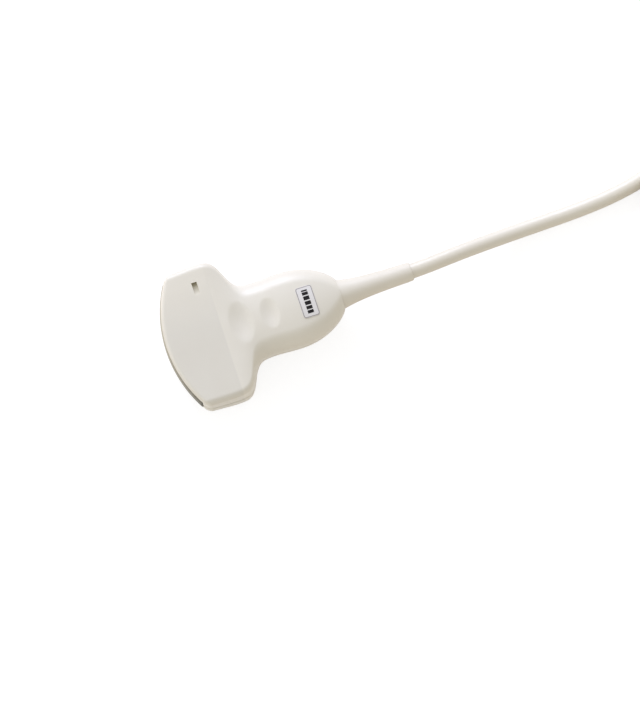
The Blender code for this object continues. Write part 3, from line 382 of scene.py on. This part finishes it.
def settle(piece):
    """Applies the piece's modifiers to its mesh"""
    made = bpy.data.meshes.new_from_object(
        piece.evaluated_get(bpy.context.evaluated_depsgraph_get()))
    made.name = piece.name
    piece.modifiers.clear()
    piece.data = made


def thicken(piece, thickness, offset, even=False):
    """Gives a sheet its wall, outwards from it at an offset of 1 and inwards at -1"""
    wall = piece.modifiers.new("Wall", "SOLIDIFY")
    wall.thickness = thickness
    wall.offset = offset
    wall.use_even_offset = even
    settle(piece)


def carve(piece, cutter_bm):
    """Cuts a closed shape out of the piece"""
    mesh = bpy.data.meshes.new("cutter")
    bmesh.ops.recalc_face_normals(cutter_bm, faces=cutter_bm.faces)
    cutter_bm.to_mesh(mesh)
    cutter_bm.free()
    cutter = bpy.data.objects.new("cutter", mesh)
    bpy.context.scene.collection.objects.link(cutter)
    cut = piece.modifiers.new("Cut", "BOOLEAN")
    cut.operation = "DIFFERENCE"
    cut.object = cutter
    bpy.context.view_layer.update()
    settle(piece)
    bpy.data.objects.remove(cutter)
    piece.data.shade_smooth()
    piece.data.set_sharp_from_angle(angle=SHARP_ANGLE)


def close_up(bm):
    """Merges doubled points and turns every face outwards"""
    bmesh.ops.remove_doubles(bm, verts=bm.verts, dist=SAME_PLACE)
    bmesh.ops.recalc_face_normals(bm, faces=bm.faces)


# Cable, first of all pieces

LEAD_ROUTE = (
    (0.0580, 0.0, 0.0130),
    (0.0635, 0.0, 0.0130),
    (0.0720, 0.0003, 0.0129),
    (0.0810, 0.0010, 0.0122),
    (0.0900, 0.0018, 0.0108),
    (0.1000, 0.0026, 0.0087),
    (0.1100, 0.0033, 0.0066),
    (0.1200, 0.0039, 0.0049),
    (0.1320, 0.0043, 0.0040),
    (0.1440, 0.0046, 0.0038),
    (0.1553, 0.0051, 0.0038),
    (0.1672, 0.0061, 0.0038),
    (0.1788, 0.0079, 0.0038),
    (0.1890, 0.0104, 0.0039),
    (0.1996, 0.0141, 0.0043),
)
TAIL_ROUTE = (
    (0.2516, 0.0284, 0.0091),
    (0.2629, 0.0273, 0.0071),
    (0.2713, 0.0265, 0.0057),
    (0.2782, 0.0256, 0.0048),
    (0.2847, 0.0233, 0.0044),
    (0.2906, 0.0198, 0.0046),
    (0.2958, 0.0152, 0.0054),
    (0.2998, 0.0096, 0.0067),
    (0.3026, 0.0032, 0.0080),
    (0.3041, -0.0030, 0.0088),
    (0.3043, -0.0090, 0.0090),
    (0.3043, -0.0135, 0.0090),
)
COIL_CENTRE = Vector((0.2328, -0.0176, 0.0141))
COIL_RADIUS = 0.0392
COIL_BUNDLE_RADIUS = 0.0090
COIL_TURNS = 6.1
ENTRY_BEARING = math.radians(120)
COIL_START = math.radians(-64.3)
COIL_SHIFT = math.radians(-360.0 / 7)
TIE_BEARING = math.radians(205)
TIE_LIFT = 0.0012
TIE_LIFT_SPREAD = math.radians(28)
TURN_POINTS = 30
CABLE_STEP = 0.0030
CABLE_ROUNDNESS = 6


def coil_point(turns):
    """Where the cable lies after so many turns, sunk to the surface away from the strap"""
    bearing = ENTRY_BEARING - 2 * math.pi * turns
    around = COIL_START + COIL_SHIFT * turns
    away = (bearing - TIE_BEARING + math.pi) % (2 * math.pi) - math.pi
    sunk = TIE_LIFT * (1.0 - math.exp(-(away / TIE_LIFT_SPREAD) ** 2))
    reach = COIL_RADIUS + COIL_BUNDLE_RADIUS * math.cos(around)
    return COIL_CENTRE + Vector((reach * math.cos(bearing), reach * math.sin(bearing),
                                 COIL_BUNDLE_RADIUS * math.sin(around) - sunk))


def smoothed(points, step):
    """The same route as one smooth line with points a step apart"""
    spots = [Vector(point) for point in points]
    padded = [spots[0] * 2 - spots[1], *spots, spots[-1] * 2 - spots[-2]]
    line = []
    for before, start, end, after in zip(padded, padded[1:], padded[2:], padded[3:]):
        pieces = max(1, round((end - start).length / step))
        for index in range(pieces):
            t = index / pieces
            line.append(0.5 * (start * 2 + (end - before) * t
                               + (before * 2 - start * 5 + end * 4 - after) * t * t
                               + (start * 3 - before - end * 3 + after) * t * t * t))
    line.append(spots[-1])
    return line


def lay_cable():
    """One tube from inside the strain relief, round the coil and into the plug"""
    coil_points = round(COIL_TURNS * TURN_POINTS)
    coil = [coil_point(COIL_TURNS * index / coil_points) for index in range(coil_points + 1)]
    line = smoothed([*LEAD_ROUTE, *coil, *TAIL_ROUTE], CABLE_STEP)
    curve = bpy.data.curves.new("cable", "CURVE")
    curve.dimensions = "3D"
    curve.bevel_depth = CABLE_DIAMETER / 2
    curve.bevel_resolution = CABLE_ROUNDNESS
    curve.use_fill_caps = True
    spline = curve.splines.new("POLY")
    spline.points.add(len(line) - 1)
    for point, place in zip(spline.points, line):
        point.co = (*place, 1.0)
    spline.use_smooth = True
    curve.materials.append(JACKET)
    cable = bpy.data.objects.new("cable", curve)
    bpy.context.scene.collection.objects.link(cable)
    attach(cable, "root")
    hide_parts("cable_lead", "cable_coil", "cable_tail")
    return cable


cable = lay_cable()


# Housing's form

def sag(y):
    """How far the curved face has fallen back at that width"""
    return FACE_RADIUS - math.sqrt(FACE_RADIUS ** 2 - y * y)


def shoulder(s):
    """1 on the head and 0 on the grip"""
    return 1.0 / (1.0 + math.exp((s - SHOULDER_S) / SHOULDER_SOFTNESS))


def rounded_end(s, start, length):
    share = min(max((s - start) / length, 0.0), 1.0)
    return math.sqrt(1.0 - share * share)


def half_width(s):
    face_s = sag(FACE_HALF_WIDTH)
    head = blend(FACE_HALF_WIDTH, HEAD_HALF_WIDTH, ease(s, face_s, HEAD_WIDEST_S))
    grip = blend(NECK_HALF_WIDTH, GRIP_HALF_WIDTH, ease(s, NECK_S, GRIP_S))
    return blend(grip, head, shoulder(s)) * rounded_end(s, GRIP_S, END_ROUND_LENGTH)


def half_depth(s):
    if s < CREASE_S:
        return blend(FACE_HALF_DEPTH, CREASE_HALF_DEPTH, s / CREASE_S)
    if s < WAIST_S:
        return blend(CREASE_HALF_DEPTH, WAIST_HALF_DEPTH, ease(s, CREASE_S, WAIST_S))
    belly = blend(WAIST_HALF_DEPTH, BELLY_HALF_DEPTH, ease(s, WAIST_S, BELLY_S))
    return belly * rounded_end(s, BELLY_S, BELLY_ROUND_LENGTH)


def dimple_depth(s, y):
    depth = 0.0
    for centre, half_length, half_across, deepest in DIMPLES:
        reach = ((s - centre) / half_length) ** 2 + (y / half_across) ** 2
        if reach < 1.0:
            depth += deepest * (1.0 - reach) ** DIMPLE_FALL
    return depth


def half_section(across, width, depth, edge_across, edge_deep, crown):
    """Width and height of a section's point, which runs from seam at -1 to seam at 1"""
    share = abs(across)
    if share <= TOP_SHARE:
        y = (width - edge_across) * share / TOP_SHARE
        z = depth
    elif share <= TOP_SHARE + EDGE_SHARE:
        turn = (share - TOP_SHARE) / EDGE_SHARE * math.pi / 2
        y = width - edge_across + edge_across * math.sin(turn)
        z = depth - edge_deep + edge_deep * math.cos(turn)
    else:
        y = width
        rest = (share - TOP_SHARE - EDGE_SHARE) / (1.0 - TOP_SHARE - EDGE_SHARE)
        z = blend(depth - edge_deep, SEAM / 2, rest)
    return math.copysign(y, across), z * (1.0 - crown * (y / width) ** 2)


def skin_point(row, across):
    """A point of the outer skin, on a row that leaves the curved face as its pull grows"""
    setback, straight, pull, inset = row
    side_s = blend(sag(FACE_HALF_WIDTH) + setback, straight, pull)
    head = shoulder(side_s)
    width = half_width(side_s) - inset
    edge_across = min(blend(GRIP_EDGE_ACROSS, HEAD_EDGE, head) - inset, width)
    y = half_section(across, width, 1.0, edge_across, 0.0, 0.0)[0]
    s = blend(sag(y) + setback, straight, pull)
    depth = half_depth(s) - inset
    edge_deep = min(blend(GRIP_EDGE_DEEP, HEAD_EDGE, head) - inset, depth - SIDE_FLAT)
    crown = GRIP_CROWN * ease(s, CREASE_S, WAIST_S)
    z = half_section(across, width, depth, edge_across, edge_deep, crown)[1]
    return Vector((s, y, z - dimple_depth(s, y)))


def opening_point(across):
    """A point of the lens opening's edge"""
    length = LENS_HALF_LENGTH + GAP
    height = LENS_HALF_HEIGHT + GAP
    y, z = half_section(across, length, height, LENS_CROWN, LENS_CROWN, 0.0)
    return Vector((sag(y), y, z))


# Housing's two shells

RIM_ROWS = 10
FACET_ROWS = 22
BODY_ROWS = 110
FLAT_COLUMNS = 36
CORNER_COLUMNS = 14
SIDE_COLUMNS = 2
# Painted shade on the head facet: its colour, and where it fades out across the facet
FACET_PAINTED_SHADE = (0.912, 0.917, 0.925)
CREASE_BLEND = 0.0004
FACET_SHADE_FULL_Y = 0.0040
FACET_SHADE_END_Y = 0.0260


def facet_painted_shade(finish):
    """Painted shade on the flat head facet, a shade greyer up to its crease and fading out towards
    its upper end
    """
    crease = on_hand_piece((CREASE_S, 0.0, 0.0)).x
    past_crease = ramp(finish, place_along(finish, "X"), crease - CREASE_BLEND,
                       crease + CREASE_BLEND)
    past_shade = ramp(finish, place_along(finish, "Y"), FACET_SHADE_FULL_Y, FACET_SHADE_END_Y)
    paint_shade_over(finish, greater(finish, past_crease, past_shade), FACET_PAINTED_SHADE)


def housing_rows():
    """Setback, place, pull and inset of each row, round the rim and then along the body"""
    rows = []
    for step in range(RIM_ROWS):
        turn = math.pi / 2 * (1.0 - step / RIM_ROWS)
        setback = RIM_ROUND * (1.0 - math.sin(turn))
        rows.append((setback, 0.0, 0.0, RIM_ROUND * (1.0 - math.cos(turn))))
    for step in range(FACET_ROWS):
        rows.append((RIM_ROUND, CREASE_S, step / FACET_ROWS, 0.0))
    for step in range(BODY_ROWS + 1):
        rows.append((0.0, blend(CREASE_S, END_S, step / BODY_ROWS), 1.0, 0.0))
    return rows


def housing_columns():
    """Places across a section, closer together on its rounded edges"""
    half = [TOP_SHARE * step / FLAT_COLUMNS for step in range(FLAT_COLUMNS + 1)]
    half += [TOP_SHARE + EDGE_SHARE * (step + 1) / CORNER_COLUMNS
             for step in range(CORNER_COLUMNS)]
    half += [blend(TOP_SHARE + EDGE_SHARE, 1.0, (step + 1) / SIDE_COLUMNS)
             for step in range(SIDE_COLUMNS)]
    return [-share for share in reversed(half[1:])] + half


def housing_half(name, side):
    """One moulded half, laid as a flat sheet one unit wide over the form and given its wall"""
    columns = housing_columns()
    rows = housing_rows()
    bm = bmesh.new()
    bmesh.ops.create_grid(bm, x_segments=len(rows), y_segments=len(columns) - 1, size=0.5)
    for vert in bm.verts:
        row = round((vert.co.x + 0.5) * len(rows))
        column = round((vert.co.y + 0.5) * (len(columns) - 1))
        spot = opening_point(columns[column])
        if row > 0:
            spot = skin_point(rows[row - 1], columns[column])
        vert.co = on_hand_piece((spot.x, spot.y, side * spot.z))
    if side < 0:
        bmesh.ops.reverse_faces(bm, faces=bm.faces)
    half = finished(name + "_skin", bm, [CREAM], stands_for=name)
    thicken(half, WALL, -1.0, even=True)
    return half


facet_painted_shade(CREAM)
front = housing_half("front_shell", 1)
housing_half("back_shell", -1)


# Orientation recess, a wedge cut into the facet, with painted shade where it is deep

RECESS_MOUTH = (0.70, 0.67, 0.60)
RECESS_DEEP_SHADE = (0.42, 0.39, 0.30)
RECESS_DARK_Y = MARK_Y + MARK_LENGTH * 0.05
FACET_SLOPE = (CREASE_HALF_DEPTH - FACE_HALF_DEPTH) / CREASE_S
MARK_MARGIN = 0.00001
MARK_REACH = MARK_DEPTH * 1.3


# Painted shade inside the recess, from the mouth's colour to dark at the deep outer end
def recess_painted_shade():
    finish = moulded("recess_painted_shade", RECESS_MOUTH, RECESS_DEEP_SHADE, 0.55)
    deepness = ramp(finish, place_along(finish, "Y"), MARK_Y - MARK_LENGTH / 2, RECESS_DARK_Y)
    paint(finish, deepness, RECESS_MOUTH, RECESS_DEEP_SHADE)
    return finish


def recess_wedge():
    """The cutter, whose floor leaves the facet and is deepest at the outer end"""
    wedge = bmesh.new()
    bmesh.ops.create_cube(wedge, size=1.0)
    for vert in wedge.verts:
        s = MARK_S + vert.co.x * MARK_WIDTH
        floor_lift = -MARK_DEPTH if vert.co.y > 0 else 0.0
        lift = MARK_DEPTH if vert.co.z > 0 else floor_lift
        height = FACE_HALF_DEPTH + FACET_SLOPE * s + lift
        vert.co = on_hand_piece((s, MARK_Y + vert.co.y * MARK_LENGTH, height))
    return wedge


def cut_recess(shell):
    """Cuts the recess and gives the faces that the cutter left inside it a painted shade"""
    carve(shell, recess_wedge())
    shell.data.materials.append(recess_painted_shade())
    middle = on_hand_piece((MARK_S, MARK_Y, FACE_HALF_DEPTH + FACET_SLOPE * MARK_S))
    for face in shell.data.polygons:
        spot = face.center - middle
        in_plan = (abs(spot.x) < MARK_WIDTH / 2 + MARK_MARGIN
                   and abs(spot.y) < MARK_LENGTH / 2 + MARK_MARGIN)
        if in_plan and -MARK_REACH < spot.z < -FACET_SLOPE * spot.x:
            face.material_index = 1


cut_recess(front)


# Lens

LENS_EDGE_FALL = 0.0004
LENS_EDGE_SHARE = 0.85
LENS_FACE_SHARE = 0.995
LENS_FACE_STEPS = 8
LENS_STEPS = 72
# Painted shade on the lens, full at its -Y end and gone just past the middle
LENS_PAINTED_SHADE = (0.265, 0.258, 0.220)
LENS_SHADE_FULL_Y = -0.0300
LENS_SHADE_END_Y = 0.0040


def lens_painted_shade(finish):
    """The lens rubber with painted shade, darker towards the end away from the recess"""
    paint_shade_over(finish, ramp(finish, place_along(finish, "Y"), LENS_SHADE_FULL_Y, LENS_SHADE_END_Y), LENS_PAINTED_SHADE)


def lens_strip():
    """The strip's section, spun along the curved face"""
    outer = FACE_RADIUS + LENS_PROUD
    inner = outer - LENS_THICKNESS
    profile = [(inner, LENS_HALF_HEIGHT), (inner, -LENS_HALF_HEIGHT),
               (FACE_RADIUS, -LENS_HALF_HEIGHT)]
    for step in range(-LENS_FACE_STEPS, LENS_FACE_STEPS + 1):
        share = step / LENS_FACE_STEPS
        past_edge = max(0.0, abs(share) - LENS_EDGE_SHARE) / (1.0 - LENS_EDGE_SHARE)
        fall = LENS_CROWN * share * share + LENS_EDGE_FALL * past_edge
        profile.append((outer - fall, LENS_HALF_HEIGHT * share * LENS_FACE_SHARE))
    profile.append((FACE_RADIUS, LENS_HALF_HEIGHT))
    half_angle = math.asin(LENS_HALF_LENGTH / FACE_RADIUS)
    ring = [on_hand_piece((FACE_RADIUS - radius * math.cos(half_angle),
                           -radius * math.sin(half_angle), z)) for radius, z in profile]
    bm = bmesh.new()
    face = bm.faces.new([bm.verts.new(point) for point in ring])
    bmesh.ops.spin(bm, geom=[*bm.verts, *bm.edges, face], axis=(0.0, 0.0, 1.0),
                   cent=on_hand_piece((FACE_RADIUS, 0.0, 0.0)), angle=-2 * half_angle,
                   steps=LENS_STEPS, use_duplicate=False)
    close_up(bm)
    finished("lens_strip", bm, [LENS], stands_for="acoustic_lens")


lens_painted_shade(LENS)
lens_strip()


# Strain relief

BOOT_LIP_STEPS = 6
BOOT_STEPS = 28
BOOT_STEPS_ROUND = 64
BOOT_STEP_SPREAD = 0.8


def boot_radius(s):
    """Wide at the housing and falling to the boot's end"""
    fall = math.exp(-(s - END_S) / BOOT_FLARE)
    return BOOT_END_RADIUS + (BOOT_BASE_RADIUS - BOOT_END_RADIUS) * fall


def boot_profile():
    """Place and radius of each point: bore, lip, tapered outside, neck and foot"""
    bore = CABLE_DIAMETER / 2 + BOOT_BORE_GAP
    base_s = END_S + SEAM / 2
    foot_end = BOOT_FOOT_S + BOOT_FOOT_THICKNESS
    profile = [(BOOT_FOOT_S, bore), (BOOT_END_S, bore)]
    for step in range(BOOT_LIP_STEPS + 1):
        turn = math.pi / 2 * step / BOOT_LIP_STEPS
        profile.append((BOOT_END_S - BOOT_LIP * (1.0 - math.cos(turn)),
                        BOOT_END_RADIUS - BOOT_LIP * (1.0 - math.sin(turn))))
    for step in range(1, BOOT_STEPS + 1):
        s = blend(BOOT_END_S - BOOT_LIP, base_s, (step / BOOT_STEPS) ** BOOT_STEP_SPREAD)
        profile.append((s, boot_radius(s)))
    profile += [(base_s, BOOT_NECK_RADIUS), (foot_end, BOOT_NECK_RADIUS),
                (foot_end, BOOT_FOOT_RADIUS), (BOOT_FOOT_S, BOOT_FOOT_RADIUS)]
    return profile


def boot_sleeve():
    bm = bmesh.new()
    verts = [bm.verts.new(on_hand_piece((s, radius, 0.0))) for s, radius in boot_profile()]
    edges = [bm.edges.new(pair) for pair in zip(verts, verts[1:] + verts[:1])]
    bmesh.ops.spin(bm, geom=verts + edges, axis=(1.0, 0.0, 0.0),
                   cent=on_hand_piece((0.0, 0.0, 0.0)), angle=2 * math.pi,
                   steps=BOOT_STEPS_ROUND, use_merge=True, use_duplicate=False)
    close_up(bm)
    finished("boot_sleeve", bm, [BOOT], stands_for="strain_relief_boot")


boot_sleeve()


# Label

LABEL_ROWS = 12
LABEL_COLUMNS = 24
LABEL_CORNER = 0.0012
LABEL_LIFT = 0.00002
LABEL_RULE_INSET = 0.0001
LABEL_RULE_WIDTH = 0.0004
FILM_THICKNESS = LABEL_THICKNESS * 0.6
PRINT_BARS = (    # middle and width of each
    (-0.0051, 0.0016),
    (-0.0030, 0.0017),
    (-0.0007, 0.0019),
    (0.0018, 0.0020),
    (0.0041, 0.0016),
    (0.0056, 0.0008),
)
PRINT_HALF_HEIGHT = 0.0015
CUT_TOLERANCE = 0.0000005
RULE_PLACE = 1
INK_PLACE = 2


def grip_surface(s, y):
    """Height of the grip's skin, where its top is nearly flat"""
    top = min(abs(y) / (half_width(s) - GRIP_EDGE_ACROSS), 1.0) * TOP_SHARE
    return skin_point((0.0, s, 1.0, 0.0), top).z


def cut_across(bm, along, place):
    """Splits every face of a flat sheet along one line"""
    normal = (1.0, 0.0, 0.0) if along == "y" else (0.0, 1.0, 0.0)
    spot = (place, 0.0, 0.0) if along == "y" else (0.0, place, 0.0)
    bmesh.ops.bisect_plane(bm, geom=[*bm.verts, *bm.edges, *bm.faces], dist=CUT_TOLERANCE,
                           plane_co=spot, plane_no=normal)


def label_sheet():
    """A flat sheet, cut along its rule and its print"""
    bm = bmesh.new()
    bmesh.ops.create_grid(bm, x_segments=LABEL_ROWS, y_segments=LABEL_COLUMNS, size=0.5)
    bmesh.ops.scale(bm, vec=(LABEL_WIDTH, LABEL_LENGTH, 1.0), verts=bm.verts)
    for inset in (LABEL_RULE_INSET, LABEL_RULE_INSET + LABEL_RULE_WIDTH):
        for side in (-1, 1):
            cut_across(bm, "y", side * (LABEL_WIDTH / 2 - inset))
            cut_across(bm, "x", side * (LABEL_LENGTH / 2 - inset))
    for middle, width in PRINT_BARS:
        cut_across(bm, "x", middle - width / 2)
        cut_across(bm, "x", middle + width / 2)
    for side in (-1, 1):
        cut_across(bm, "y", side * PRINT_HALF_HEIGHT)
    return bm


def print_label(bm):
    """Gives the rule and the bars their inks"""
    for face in bm.faces:
        spot = face.calc_center_median()
        to_side = LABEL_WIDTH / 2 - abs(spot.x)
        to_end = LABEL_LENGTH / 2 - abs(spot.y)
        inset = min(to_side, to_end)
        if LABEL_RULE_INSET < inset < LABEL_RULE_INSET + LABEL_RULE_WIDTH:
            face.material_index = RULE_PLACE
        on_bar = any(abs(spot.y - middle) < width / 2 for middle, width in PRINT_BARS)
        if on_bar and abs(spot.x) < PRINT_HALF_HEIGHT:
            face.material_index = INK_PLACE


def round_label(bm):
    """Draws the square corners in to round ones"""
    straight_x = LABEL_WIDTH / 2 - LABEL_CORNER
    straight_y = LABEL_LENGTH / 2 - LABEL_CORNER
    for vert in bm.verts:
        past_x = abs(vert.co.x) - straight_x
        past_y = abs(vert.co.y) - straight_y
        if past_x > 0 and past_y > 0:
            draw = max(past_x, past_y) / math.hypot(past_x, past_y)
            vert.co.x = math.copysign(straight_x + past_x * draw, vert.co.x)
            vert.co.y = math.copysign(straight_y + past_y * draw, vert.co.y)


def label():
    """The bordered film, laid on the grip"""
    bm = label_sheet()
    print_label(bm)
    round_label(bm)
    for vert in bm.verts:
        s = LABEL_S + vert.co.x
        y = LABEL_Y + vert.co.y
        vert.co = on_hand_piece((s, y, grip_surface(s, y) + LABEL_LIFT))
    piece = finished("label", bm, [FILM, RULE, INK], stands_for="label_plate")
    thicken(piece, FILM_THICKNESS, 1.0)


label()


# Strap round the coil, drawn tight over the turns that it holds

TIE_WIDTH = 0.0080
TIE_THICKNESS = 0.0007
TIE_SLACK = 0.0004
TIE_STEP = 5
TIE_LOOP = (0, 360)
TIE_OVERLAP = (55, 150)
TIE_OVERLAP_LIFT = TIE_THICKNESS * 1.05


def strap_outline(turns_held, reach, first, last):
    """Points of the tight loop between two directions, in the plane across the bundle"""
    points = []
    for degrees in range(first, last, TIE_STEP):
        way = Vector((math.cos(math.radians(degrees)), math.sin(math.radians(degrees))))
        points.append(max(turns_held, key=way.dot) + way * reach)
    return points


def turns_under_strap(outward):
    """Where the turns pass below the strap, as reach from the coil's middle and height"""
    first_turn = (ENTRY_BEARING - TIE_BEARING) / (2 * math.pi) % 1.0
    held = []
    for count in range(int(COIL_TURNS - first_turn) + 1):
        place = coil_point(first_turn + count)
        held.append(Vector(((place - COIL_CENTRE).dot(outward), place.z)))
    return held


def strap():
    """A closed band, with its end lapped over it"""
    outward = Vector((math.cos(TIE_BEARING), math.sin(TIE_BEARING), 0.0))
    along = Vector((-outward.y, outward.x, 0.0))
    turns_held = turns_under_strap(outward)
    start = COIL_CENTRE * Vector((1.0, 1.0, 0.0)) - along * TIE_WIDTH / 2
    bm = bmesh.new()
    for (first, last), lift in ((TIE_LOOP, 0.0), (TIE_OVERLAP, TIE_OVERLAP_LIFT)):
        outline = strap_outline(turns_held, CABLE_DIAMETER / 2 + TIE_SLACK + lift, first, last)
        verts = [bm.verts.new(start + outward * point.x + Vector((0.0, 0.0, point.y)))
                 for point in outline]
        edges = [bm.edges.new(pair) for pair in zip(verts, verts[1:])]
        if (first, last) == TIE_LOOP:
            edges.append(bm.edges.new((verts[-1], verts[0])))
        band = bmesh.ops.extrude_edge_only(bm, edges=edges)["geom"]
        far_edge = [part for part in band if isinstance(part, bmesh.types.BMVert)]
        bmesh.ops.translate(bm, vec=along * TIE_WIDTH, verts=far_edge)
    bmesh.ops.recalc_face_normals(bm, faces=bm.faces)
    piece = finished("coil_strap", bm, [STRAP], stands_for="coil_tie")
    thicken(piece, TIE_THICKNESS, 1.0)
    return piece


tie = strap()


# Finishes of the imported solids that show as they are, and of those sealed inside

NODE_FINISHES = {
    "matching_layer_outer": MATCHING, "matching_layer_inner": MATCHING, "piezo_array": CERAMIC,
    "backing_block": EPOXY, "array_carrier": ALUMINIUM, "carrier_screw_left": STEEL,
    "carrier_screw_right": STEEL, "flex_circuit_front": POLYIMIDE, "flex_circuit_back": POLYIMIDE,
    "circuit_board": LAMINATE, "board_socket_front": BLACK, "board_socket_back": BLACK,
    "board_screw_left": STEEL, "board_screw_right": STEEL, "memory_chip": BLACK,
    "shield_can": TIN, "coax_comb": COMB, "wire_loom": LOOM, "crimp_ferrule": BRASS,
    "cable_in_boot": JACKET, "cable_in_plug": JACKET, "plug_boot": BOOT,
    "plug_hood_upper": GREY, "plug_hood_lower": GREY, "plug_shell": TIN,
    "plug_insulator": BLACK, "hood_screw_left": STEEL, "hood_screw_right": STEEL,
}
for name, finish in NODE_FINISHES.items():
    mesh = NODES[name].data
    mesh.materials.clear()
    mesh.materials.append(finish)


# Floor, world and lamps

FLOOR_HALF_SIZE = 3.0
FLOOR_BOUNCE = (0.91, 0.80, 0.62)
FLOOR_SHADOWED = (0.34, 0.35, 0.38)
FLOOR_GLOW = (0.78, 0.78, 0.78)
SKY = (1.0, 0.960, 0.865)
SKY_STRENGTH = 0.68


def seen_directly(finish):
    """1 for what the camera sees, straight or by a reflection, and 0 for other light"""
    path = add_node(finish, "ShaderNodeLightPath")
    seen = greater(finish, path.outputs["Is Camera Ray"], path.outputs["Is Glossy Ray"])
    return greater(finish, seen, path.outputs["Is Transmission Ray"])


def lit_or_seen(finish, lit, seen, output_kind):
    """One shader for the light that the object gets, and another for what is seen"""
    choice = add_node(finish, "ShaderNodeMixShader")
    join(finish, seen_directly(finish), choice.inputs[0])
    join(finish, lit.outputs[0], choice.inputs[1])
    join(finish, seen.outputs[0], choice.inputs[2])
    output = add_node(finish, output_kind)
    join(finish, choice.outputs[0], output.inputs["Surface"])


def floor_paint():
    """White to the eye but for the object's shadow, with a warm bounce for the object"""
    finish = bpy.data.materials.new("floor_paint")
    finish.use_nodes = True
    finish.node_tree.nodes.clear()
    bounce = add_node(finish, "ShaderNodeBsdfDiffuse", Color=(*FLOOR_BOUNCE, 1.0))
    shadowed = add_node(finish, "ShaderNodeBsdfDiffuse", Color=(*FLOOR_SHADOWED, 1.0))
    glow = add_node(finish, "ShaderNodeEmission", Color=(*FLOOR_GLOW, 1.0))
    seen = add_node(finish, "ShaderNodeAddShader")
    join(finish, shadowed.outputs[0], seen.inputs[0])
    join(finish, glow.outputs[0], seen.inputs[1])
    lit_or_seen(finish, bounce, seen, "ShaderNodeOutputMaterial")
    return finish


def lay_floor():
    bm = bmesh.new()
    bmesh.ops.create_grid(bm, x_segments=1, y_segments=1, size=FLOOR_HALF_SIZE)
    mesh = bpy.data.meshes.new("floor")
    bm.to_mesh(mesh)
    bm.free()
    floor = bpy.data.objects.new("floor", mesh)
    bpy.context.scene.collection.objects.link(floor)
    mesh.materials.append(floor_paint())


def studio():
    """A soft sky, which is plain white where it is seen"""
    world = bpy.data.worlds.new("studio")
    world.use_nodes = True
    bpy.context.scene.world = world
    world.node_tree.nodes.clear()
    sky = add_node(world, "ShaderNodeBackground", Strength=SKY_STRENGTH, Color=(*SKY, 1.0))
    backdrop = add_node(world, "ShaderNodeBackground", Strength=1.0, Color=(*WHITE, 1.0))
    lit_or_seen(world, sky, backdrop, "ShaderNodeOutputWorld")


def lamp(name, bearing, height, strength, spread, colour):
    """A soft far lamp. bearing 0 shines from +Y and grows towards +X"""
    light = bpy.data.lights.new(name, "SUN")
    light.energy = strength * math.pi
    light.angle = math.radians(spread)
    light.color = colour
    fixture = bpy.data.objects.new(name, light)
    bpy.context.scene.collection.objects.link(fixture)
    turn = math.radians(bearing)
    rise = math.radians(height)
    towards = Vector((math.sin(turn) * math.cos(rise), math.cos(turn) * math.cos(rise),
                      math.sin(rise)))
    fixture.rotation_euler = towards.to_track_quat("Z", "Y").to_euler()


lay_floor()
studio()
lamp("key", bearing=2.0, height=25.0, strength=0.81, spread=34.0, colour=(0.76, 0.80, 0.98))
lamp("side_fill", bearing=-90.0, height=6.0, strength=0.36, spread=40.0, colour=(1.0, 0.99, 0.97))

bpy.context.scene.view_settings.view_transform = "Standard"
